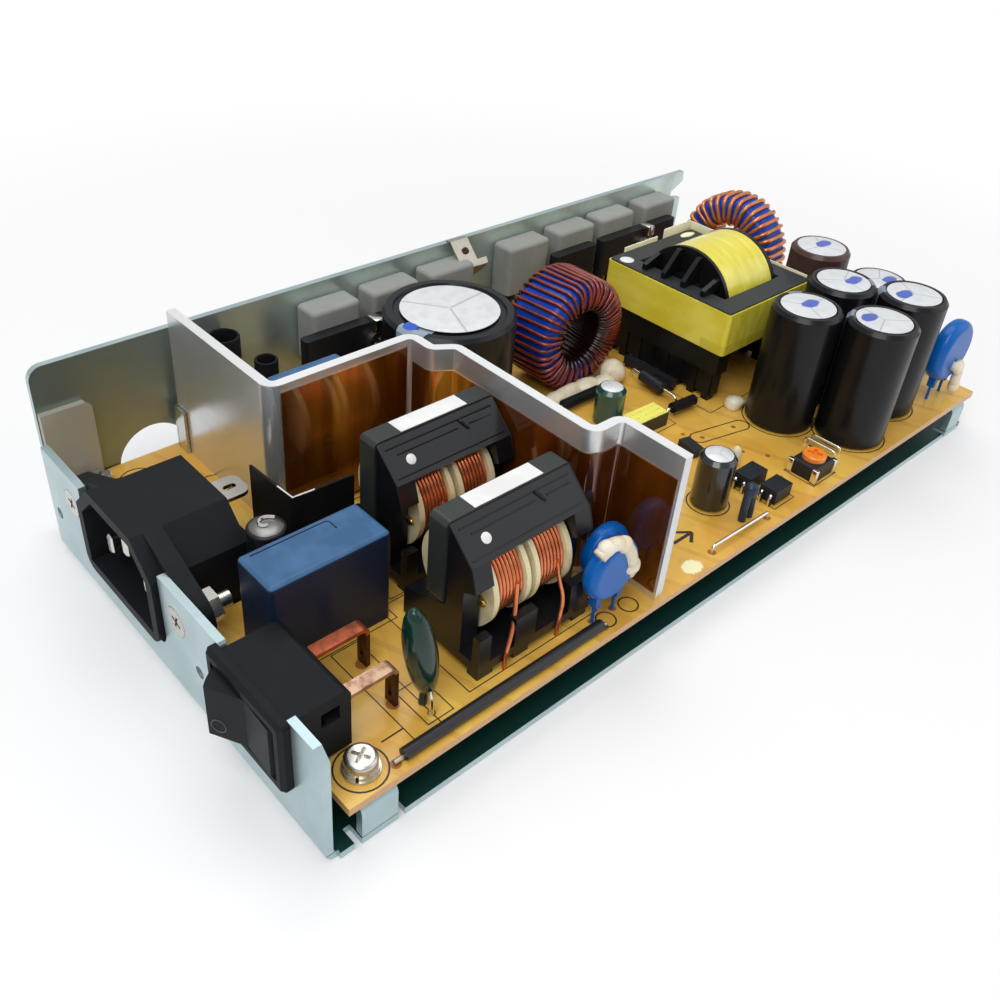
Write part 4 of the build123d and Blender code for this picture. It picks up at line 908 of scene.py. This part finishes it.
class MakeChokes(bpy.types.Operator):
    """Winds the two common mode chokes turn by turn"""

    bl_idname = "powerboard.chokes"
    bl_label = "Chokes"
    bl_options = {"REGISTER", "UNDO"}

    def execute(self, context):
        looks = context.scene.board_looks
        cream = spool_cream()
        copper = lacquered_wire("copper_turns", tone(222, 132, 84), tone(196, 106, 62), 0.22, 0.8)
        wire_r = looks.choke_wire / MM
        for name, left, middle in choke_spots():
            dress("ferrite_lacquer", name + "_core")
            dress("frame_plastic", name + "_frame")
            dress(cream, name + "_spool")
            bm = bmesh.new()
            under = bmesh.new()
            for start, width in ((left + 6.3, 6.2), (left + 15.9, 6.4)):
                pitch = (width - 2 * wire_r) / (looks.choke_turns - 1)
                for i in range(looks.choke_turns):
                    place = spot(start + wire_r + i * pitch, middle, CHOKE_AXIS_UP)
                    add_ring(bm, place, (1, 0, 0), CHOKE_OUTER - wire_r, wire_r)
                # Painted shade: a dark ring under the turns shows dark between them
                profile = [(4.2, 0.1), (8.0, 0.1), (8.0, width - 0.1), (4.2, width - 0.1)]
                add_lathe(under, spot(start, middle, CHOKE_AXIS_UP), profile, 40, (1, 0, 0))
            new_piece(name + "_under", under, "dark_gap")
            for path in CHOKE_LEADS:
                add_wire(bm, [(left + a, middle - c, u) for a, c, u in path], 0.42)
            new_piece(name + "_turns", bm, copper, stands_for=[name + "_winding"], smooth=60)
            label = bmesh.new()
            add_block(label, (left + 6.2, middle - 1.9, 39.52), (left + 21.8, middle + 1.9, 39.6))
            new_piece(name + "_label", label, "label_paper")
            lathe_piece(name + "_dot", "label_paper", spot(left + 5.6, middle - 5.6, 36.0),
                        [(0, 0.12), (0.9, 0.12), (1.0, 0.04), (1.0, -0.1)], 20, HOOD_UP)
            # Raised lines and a slot on the sloping hood
            lines = bmesh.new()
            for depth, start, end in ((3.3, 1.6, 26.6), (4.4, 3.4, 17.6), (4.4, 20.4, 26.0), (7.4, 1.4, 26.8)):
                up = 39.14 - (depth - 2.2) * 5.5 / 6
                add_wire(lines, [(left + start, middle - depth, up), (left + end, middle - depth, up)], 0.16, sides=1)
            add_wire(lines, [(left + 18.4, middle - 3.4, 38.1), (left + 19.8, middle - 5.0, 36.6)], 0.34, sides=1)
            for side in (0.5, 27.8):
                path = ((2.3, 39.0), (8.2, 33.6), (9.6, 29.2))
                add_wire(lines, [(left + side, middle - c, u) for c, u in path], 0.14, sides=1, straight=True)
            new_piece(name + "_ridges", lines, "frame_plastic", smooth=60)
            # Solder lumps on the spool's end
            lumps = bmesh.new()
            for across, up in ((middle - 5.4, 27.4), (middle - 6.8, 23.2)):
                add_blob(lumps, (left + 4.7, across, up), (0.5, 1.1, 0.9), across)
            new_piece(name + "_solder", lumps, "golden_solder", smooth=180)
        return {"FINISHED"}


class MakeToroids(bpy.types.Operator):
    """Winds the two toroids turn by turn"""

    bl_idname = "powerboard.toroids"
    bl_label = "Toroids"
    bl_options = {"REGISTER", "UNDO"}

    def execute(self, context):
        looks = context.scene.board_looks
        dress("core_blue", "boost_toroid_core", "output_toroid_core")
        red = lacquered_wire("red_brown_turns", tone(140, 50, 38), tone(92, 32, 28), 0.24, 0.3, "boost_toroid_core")
        orange = lacquered_wire("orange_turns", tone(218, 134, 68), tone(180, 98, 44), 0.22, 0.45)
        # Axis, outer and hole radius, depth, gap in degrees at the foot, turns, wire radius, crowding, finish
        for name, axis, outer, hole, depth, gap, turns, wire, crowd, kind in (
            ("boost_toroid", (0, 1, 0), 14.3, 6.1, 16.0, 9, looks.toroid_turns, looks.toroid_wire / MM, 0.11, red),
            ("output_toroid", (1, 0, 0), 15.0, 6.2, 11.6, 40, 32, 0.6, 0.02, orange),
        ):
            low, high = node_corners(name + "_core")
            centre = spot(*((low + high) / 2))
            self.coat(name, centre, axis, outer - 0.9, hole + 0.9, depth / 2 - 0.9)
            self.wind(name, centre, axis, outer, hole, depth, gap, turns, wire, crowd, kind)
        return {"FINISHED"}

    def coat(self, name, centre, axis, outer, hole, half):
        """The coated ring just under the turns, with rounded edges."""
        cut = 2.2
        near = [
            (hole, cut - half), (hole + cut * 0.3, 0.3 * cut - half), (hole + cut, -half), (outer - cut, -half),
            (outer - cut * 0.3, 0.3 * cut - half), (outer, cut - half),
        ]
        profile = near + [(r, -h) for r, h in reversed(near)] + near[:1]
        lathe_piece(name + "_coat", "core_blue", centre, profile, 48, axis, smooth=60)

    def wind(self, name, centre, axis, outer, hole, depth, gap, turns, wire_r, crowd, kind):
        """Lays one turn after the other in two layers, closer together on one side."""
        layers = [
            frame_loop((outer - hole) / 2 - wire_r, depth / 2 - wire_r, 2.5, wire_r),
            frame_loop((outer - hole) / 2 - 1.5 * wire_r, depth / 2 - 1.8 * wire_r, 2.2, wire_r),
        ]
        turn = turn_to(axis)
        down = turn.inverted() @ Vector((0, 0, -1))
        start = math.atan2(down.y, down.x) + math.radians(gap / 2 + 2)
        sweep = math.tau - math.radians(gap + 4)
        lag = 0.45
        bm = bmesh.new()
        for i in range(turns):
            layer = i % 2
            part = i / (turns - 1)
            angle = start + sweep * (part + crowd * (math.cos(lag) - math.cos(math.tau * part + lag)))
            middle = (outer + hole) / 2 + 0.5 * wire_r * layer
            lean = math.radians(3.5 + 1.2 * math.sin(i * 2.3))
            matrix = (
                Matrix.Translation(centre) @ turn @ Matrix.Rotation(angle, 4, "Z")
                @ Matrix.Translation((middle * MM, 0, 0)) @ Matrix.Rotation(lean, 4, "X") @ Matrix.Scale(MM, 4)
            )
            before = len(bm.verts)
            bm.from_mesh(layers[layer])
            bm.verts.ensure_lookup_table()
            bmesh.ops.transform(bm, matrix=matrix, verts=bm.verts[before:])
        new_piece(name + "_turns", bm, kind, stands_for=[name + "_winding"], smooth=180, merge=False)


class MakeCapacitors(bpy.types.Operator):
    """Finishes the capacitors and the fuse, and gives the cans their bright ends"""

    bl_idname = "powerboard.capacitors"
    bl_label = "Capacitors and fuse"
    bl_options = {"REGISTER", "UNDO"}

    def execute(self, context):
        dress(sleeve("bulk_sleeve", tone(16, 18, 22), {"bulk_top": 193}, 7.0, 20.0), "bulk_capacitor")
        dress(sleeve("tall_sleeve", tone(16, 17, 20), STRIPES, 3.4, 8.2, 0.7), "output_capacitors")
        dress(sleeve("brown_sleeve", tone(74, 52, 48)), "brown_output_capacitor")
        dress(small_cans(), "small_capacitors")
        for name, (centre, radius, height, blot, turn) in CANS.items():
            profile = [(0, 0.12), (radius * 0.97, 0.12), (radius, 0.06), (radius, -0.06), (0, -0.06)]
            lathe_piece(name, can_top(name, centre, radius, blot, turn), spot(*centre, height), profile, 48)
        lathe_piece("bulk_blot", "ink_blot", spot(73.6, 73.0, 37.42), [(0, 0.08), (1.5, 0.08), (1.7, 0.0)], 18)
        for node in ("suppression_capacitor", "second_box_capacitor"):
            dress(blue_case(node), node)
        # The dipped part leans as one smooth bean on a bright lead
        bean = bmesh.new()
        add_blob(bean, (24.6, 9.0, 22.9), (2.8, 3.0, 10.6), 0.5, 0.02, -0.16)
        add_wire(bean, [(25.6, 9.2, 14.6), (26.0, 9.2, 12.4), (25.6, 9.2, BOARD_TOP)], 0.8, sides=3)
        new_piece("green_bean", bean, "green_dip", stands_for=["dipped_part"], smooth=180)
        wire_piece("bean_lead", "bright_metal", [(25.0, 6.2, BOARD_TOP), (25.0, 6.2, 14.0), (25.2, 7.0, 15.4)], 0.42)
        dress("disc_blue", "front_discs", "rear_disc")
        dress("fuse_shell", "line_fuse")
        # The fuse has a bright end with a curled wire, and the box beside it a sunk line
        low, high = node_corners("line_fuse")
        top = Vector((*((low + high) / 2).xy, high.z))
        profile = [(0, 0.5), (1.6, 0.45), (2.6, 0.25), (3.0, 0.02), (3.0, -0.4)]
        lathe_piece("fuse_cap", "dull_cap", spot(*top), profile, 28)
        steps = ((0.2, 2.1), (1.0, 1.9), (1.9, 1.6), (2.8, 1.3), (3.7, 1.0), (4.6, 0.6))
        points = [top + Vector((math.cos(a) * r, math.sin(a) * r, 0.62)) for a, r in steps]
        wire_piece("fuse_curl", "bright_metal", points, 0.34, sides=1)
        points = [(11.6, 37.2, 30.5), (26.4, 37.2, 30.5), (26.9, 36.7, 30.5), (26.9, 34.6, 30.5)]
        wire_piece("case_line", "case_shadow", points, 0.14, sides=1, straight=True)
        return {"FINISHED"}


class MakeTransformer(bpy.types.Operator):
    """Finishes the transformer and adds its tape ends"""

    bl_idname = "powerboard.transformer"
    bl_label = "Transformer"
    bl_options = {"REGISTER", "UNDO"}

    def execute(self, context):
        dress(yellow_tape(), "transformer_winding", "transformer_tape")
        dress("transformer_ferrite", "transformer_core")
        dress("bobbin_black", "transformer_bobbin")
        corner = node_corners("transformer_core")[1]
        far, right, top = corner.y + 0.35, corner.x + 0.35, corner.z
        ends = bmesh.new()
        for left, end, rise in ((146.0, 159.0, 1.0), (161.5, right - 0.3, 2.3)):
            add_block(ends, (left, far, top - 3.0), (end, far + 0.35, top + rise), 0.12)
        add_block(ends, (right, 61.0, top - 2.0), (right + 0.3, far + 0.3, top + 2.0), 0.12)
        add_block(ends, (right, 38.6, top - 2.0), (right + 0.3, 56.0, top + 0.5), 0.12)
        add_blob(ends, (168.2, 72.8, top + 0.1), (3.0, 1.0, 0.5), 2.0)
        new_piece("tape_ends", ends, "pale_tape")
        # Painted shade: dark plates under the transformer's ends fill the gaps between its pins
        plates = bmesh.new()
        for along in (141.5, 169.2):
            add_block(plates, (along, 39.0, 11.8), (along + 2.9, 73.6, 18.4))
        new_piece("pin_shade_plates", plates, "bobbin_black")
        lathe_piece("core_dot", "label_paper", spot(142.5, 71.6, top), [(0, 0.14), (1.5, 0.14), (1.8, 0.02)], 24)
        return {"FINISHED"}


class MakeWallDevices(bpy.types.Operator):
    """Finishes the boots, devices and clamp bars on the wall"""

    bl_idname = "powerboard.wall_devices"
    bl_label = "Wall devices"
    bl_options = {"REGISTER", "UNDO"}

    def execute(self, context):
        dress("boot_grey", "device_boots")
        dress("package_dark", "power_devices", "optocouplers", "flat_diodes", "axial_diode")
        dress("clamp_black", "clamp_bars")
        # Bright spring tongues over the clamp bars
        tongues = bmesh.new()
        for along in (77.3, 173.2):
            add_block(tongues, (along - 1.2, 88.2, 28.6), (along + 1.2, 91.8, 31.4), 0.3)
        new_piece("clamp_tongues", tongues, "bright_metal")
        return {"FINISHED"}


class MakeSmallParts(bpy.types.Operator):
    """Finishes the trimmer, jumpers, tubes, sensor and the labelled box"""

    bl_idname = "powerboard.small_parts"
    bl_label = "Small parts"
    bl_options = {"REGISTER", "UNDO"}

    def execute(self, context):
        dress("trimmer_orange", "trimmer_rotor")
        dress("trimmer_case", "trimmer_body")
        dress("tinned_wire", "wire_jumpers")
        dress("tube_black", "jumper_sleeves", "insulating_sheet")
        tubes = bmesh.new()
        for along, across, radius, top in ((41.9, 96.2, 3.4, 35.0), (45.6, 85.8, 2.5, 33.0)):
            add_lathe(tubes, spot(along, across, 0), [
                (radius * 0.95, BOARD_TOP), (radius, BOARD_TOP + 4), (radius, top - 0.2), (radius - 0.12, top),
                (radius - 0.5, top), (radius - 0.6, top - 0.4), (radius * 0.7, top - 6.0), (0, top - 6.2),
            ], 28)
        new_piece("open_tubes", tubes, "tube_black", stands_for=["shrink_tubes"])
        dress(jumper_sleeve(), "long_jumper")
        dress(label_box(), "labelled_box")
        # Corner legs of the trimmer, then the leads of the two small packages
        legs = bmesh.new()
        for along, across in ((132.5, 3.4), (139.9, 3.4), (132.5, 9.6), (139.9, 9.6)):
            add_block(legs, (along - 0.5, across - 0.7, BOARD_TOP), (along + 0.5, across + 0.7, 14.0), 0.15)
        for left, right, first, last in ((117.6, 124.0, 11.2, 13.4), (118.4, 124.2, 4.9, 7.1)):
            for across in (first, last):
                for side, out in ((left, -1), (right, 1)):
                    path = ((0.1, 12.9), (0.75, 12.9), (0.95, 12.0), (0.95, BOARD_TOP))
                    add_wire(legs, [(side + out * reach, across, up) for reach, up in path], 0.3, sides=1)
        new_piece("small_leads", legs, "tinned_wire", smooth=50)
        # The sensor is a bulb on two sleeved leads that lean together
        bulb = bmesh.new()
        for along in (108.9, 111.3):
            points = [(along, 5.4, BOARD_TOP), (along, 5.5, 15.0), (along * 0.7 + 33.03, 5.6, 18.2)]
            add_wire(bulb, points, 0.85, sides=3)
        add_blob(bulb, (110.1, 5.6, 17.6), (1.7, 1.5, 1.9), 0.3, 0.03)
        new_piece("sensor_bulb", bulb, "slate_sleeve", stands_for=["sensor"], smooth=60)
        # White edge of the insulating sheet
        points = [(25.7, 51.0, 30.0), (26.0, 46.6, 30.0), (30.4, 46.25, 30.0)]
        wire_piece("sheet_edge", "label_paper", points, 0.16, sides=1, straight=True)
        return {"FINISHED"}


# Lumps of glue on the board: along, across, up and the three half sizes
GLUE_LUMPS = (
    (128.6, 60.0, 13.0, 3.4, 3.2, 3.4), (125.2, 59.4, 11.6, 3.6, 2.4, 2.2), (120.4, 60.4, 11.8, 4.4, 2.4, 2.4),
    (114.6, 61.2, 11.6, 4.6, 2.4, 2.2), (108.6, 61.2, 11.4, 4.8, 2.6, 2.0), (102.6, 60.2, 11.2, 4.8, 2.6, 1.7),
    (98.4, 58.4, 11.4, 3.8, 2.4, 1.8), (144.5, 33.8, 11.6, 2.8, 2.2, 1.8), (191.0, 72.4, 11.6, 4.8, 4.6, 2.8),
    (119.6, 63.8, 11.0, 3.0, 3.0, 1.6),
)
# Paths of the ropes of glue over the blue discs
FRONT_ROPE = (
    (59.4, 3.6, 28.0), (61.0, 3.6, 29.0), (63.4, 3.6, 29.0), (65.6, 3.4, 27.8), (67.2, 3.2, 25.8),
    (68.2, 3.2, 23.4), (69.0, 3.4, 21.0), (69.4, 4.0, 18.8),
)
REAR_ROPE = (
    (186.6, 9.6, 12.6), (186.6, 9.0, 15.2), (187.2, 8.8, 18.0), (188.6, 8.6, 20.6), (190.8, 3.2, 20.4),
    (193.0, 3.0, 19.6), (194.6, 3.0, 17.6), (194.4, 3.0, 15.4), (195.4, 3.2, 13.4),
)


def glue_cream(cream):
    """Glue with slow clouds and soft lumps."""
    f = Finish("glue_cream", cream, 0.42, Coat_Weight=0.2)
    f.set(Base_Color=f.blend(f.noise(0.35, 3).step(0.35, 0.7), cream, tone(222, 208, 176)))
    f.bump(f.noise(0.9, 3), 0.2, 0.0003)
    return f.material


class MakeGlue(bpy.types.Operator):
    """Presses the cream glue into the places where parts are held"""

    bl_idname = "powerboard.glue"
    bl_label = "Glue"
    bl_options = {"REGISTER", "UNDO"}

    def execute(self, context):
        looks = context.scene.board_looks
        cream = glue_cream(tuple(looks.glue))
        lumps = bmesh.new()
        for i, (along, across, up, *size) in enumerate(GLUE_LUMPS):
            add_blob(lumps, (along, across, up), size, i * 1.3 + 0.4)
        # An upright drop beside the small packages
        add_blob(lumps, (124.0, 18.6, 12.8), (1.3, 1.3, 2.8), 0.2, 0.05)
        new_piece("glue_lumps", lumps, cream, stands_for=["glue"], smooth=180)
        ropes = bmesh.new()
        add_wire(ropes, FRONT_ROPE, 1.35, sides=4)
        for i in (1, 3, 6):
            add_blob(ropes, FRONT_ROPE[i], (1.9, 1.5, 1.7), i * 0.9, 0.1)
        add_wire(ropes, REAR_ROPE[:4], 1.3, sides=4)
        add_wire(ropes, REAR_ROPE[4:], 1.2, sides=4)
        for i in (0, 2, 5, 8):
            add_blob(ropes, REAR_ROPE[i], (1.6, 1.4, 1.9), i * 1.1, 0.1)
        new_piece("glue_ropes", ropes, cream, smooth=180)
        return {"FINISHED"}


# The photograph's camera, worked out from corners of the object: place, azimuth, elevation and roll in degrees
CAMERA_SPOT = (-48.87, -75.35, 140.71)
CAMERA_ANGLES = (46.0, 35.73, 4.11)
CAMERA_SENSOR = 36
CAMERA_LENS = 1.0124
CAMERA_SHIFT = (0.0291, -0.0368)


class MakeStage(bpy.types.Operator):
    """Sets the floor, the lamps and the camera"""

    bl_idname = "powerboard.stage"
    bl_label = "Stage"
    bl_options = {"REGISTER", "UNDO"}

    def execute(self, context):
        scene = context.scene
        scene.view_settings.view_transform = "Standard"
        f = Finish("studio_floor", (0.9, 0.9, 0.91), 0.6)
        seen = any_of(f.ray(kind) for kind in ("Camera", "Glossy", "Transmission"))
        x, y, _ = f.axes()
        far = away_from(x, y, TRAY_MIDDLE).step(115, 320)
        mixed = f.wire("ShaderNodeMixShader", 0, inputs={
            0: seen * (0.18 + 0.82 * far),
            1: Wire(f, f.shader.outputs[0]),
            2: f.wire("ShaderNodeEmission", 0, inputs={"Color": (1.0, 1.0, 1.0), "Strength": 1.0}),
        })
        f.feed(f.tree.nodes["Material Output"].inputs["Surface"], mixed)
        bm = bmesh.new()
        bmesh.ops.create_grid(bm, x_segments=1, y_segments=1, size=3.0, matrix=Matrix.Translation((0, 0, -0.0002)))
        mesh = bpy.data.meshes.new("floor")
        bm.to_mesh(mesh)
        bm.free()
        mesh.materials.append(f.material)
        floor = bpy.data.objects.new("floor", mesh)
        scene.collection.objects.link(floor)

        world = bpy.data.worlds.new("studio")
        scene.world = world
        world.use_nodes = True
        sky = Nodes(world.node_tree)
        shown = sky.ray("Camera").most(sky.ray("Glossy") * 0.4)
        back = sky.tree.nodes["Background"]
        sky.feed(back.inputs["Strength"], 0.36 + 0.64 * shown)
        sky.feed(back.inputs["Color"], (1.0, 1.0, 1.0))

        stage = scene.stage_looks
        self.lamp("key_lamp", (-0.45, -0.25, 0.75), 0.55, stage.key_light)
        self.lamp("fill_lamp", (0.55, -0.55, 0.5), 0.7, stage.fill_light)
        self.lamp("top_lamp", (0.1, 0.25, 0.85), 0.6, stage.top_light)
        self.camera()
        return {"FINISHED"}

    def lamp(self, name, at, size, power):
        data = bpy.data.lights.new(name, "AREA")
        data.shape = "SQUARE"
        data.size = size
        data.energy = power
        made = bpy.data.objects.new(name, data)
        made.location = at
        made.rotation_euler = (-Vector(at)).to_track_quat("-Z", "Y").to_euler()
        bpy.context.scene.collection.objects.link(made)

    def camera(self):
        """Stands where the photograph was taken from."""
        azimuth, elevation, roll = (math.radians(angle) for angle in CAMERA_ANGLES)
        data = bpy.data.cameras.new("camera")
        data.sensor_width = CAMERA_SENSOR
        data.lens = CAMERA_SENSOR * CAMERA_LENS
        data.shift_x, data.shift_y = CAMERA_SHIFT
        data.clip_start = 0.01
        data.clip_end = 20
        made = bpy.data.objects.new("camera", data)
        made.matrix_world = (
            Matrix.Translation(spot(*CAMERA_SPOT)) @ Matrix.Rotation(azimuth - math.pi / 2, 4, "Z")
            @ Matrix.Rotation(math.pi / 2 - elevation, 4, "X") @ Matrix.Rotation(roll, 4, "Z")
        )
        bpy.context.scene.collection.objects.link(made)
        bpy.context.scene.camera = made


GROUPS = (
    MakeTray, MakeInlet, MakeHeatSink, MakeBoard, MakeChokes, MakeToroids, MakeCapacitors, MakeTransformer,
    MakeWallDevices, MakeSmallParts, MakeGlue, MakeStage,
)


class PowerBoardPanel(bpy.types.Panel):
    """Lists the groups of the power supply board"""

    bl_idname = "VIEW3D_PT_power_board"
    bl_label = "Power Board"
    bl_space_type = "VIEW_3D"
    bl_region_type = "UI"
    bl_category = "Power Board"

    def draw(self, context):
        column = self.layout.column()
        for group in (context.scene.board_looks, context.scene.stage_looks):
            for name in group.__annotations__:
                column.prop(group, name)
        for operator in GROUPS:
            column.operator(operator.bl_idname)


CLASSES = (BoardLooks, StageLooks, *GROUPS, PowerBoardPanel)


def register():
    for cls in CLASSES:
        bpy.utils.register_class(cls)
    bpy.types.Scene.board_looks = PointerProperty(type=BoardLooks)
    bpy.types.Scene.stage_looks = PointerProperty(type=StageLooks)


def unregister():
    del bpy.types.Scene.stage_looks
    del bpy.types.Scene.board_looks
    for cls in reversed(CLASSES):
        bpy.utils.unregister_class(cls)


def main():
    register()
    for operator in GROUPS:
        group, name = operator.bl_idname.split(".")
        getattr(getattr(bpy.ops, group), name)()


if __name__ == "__main__":
    main()
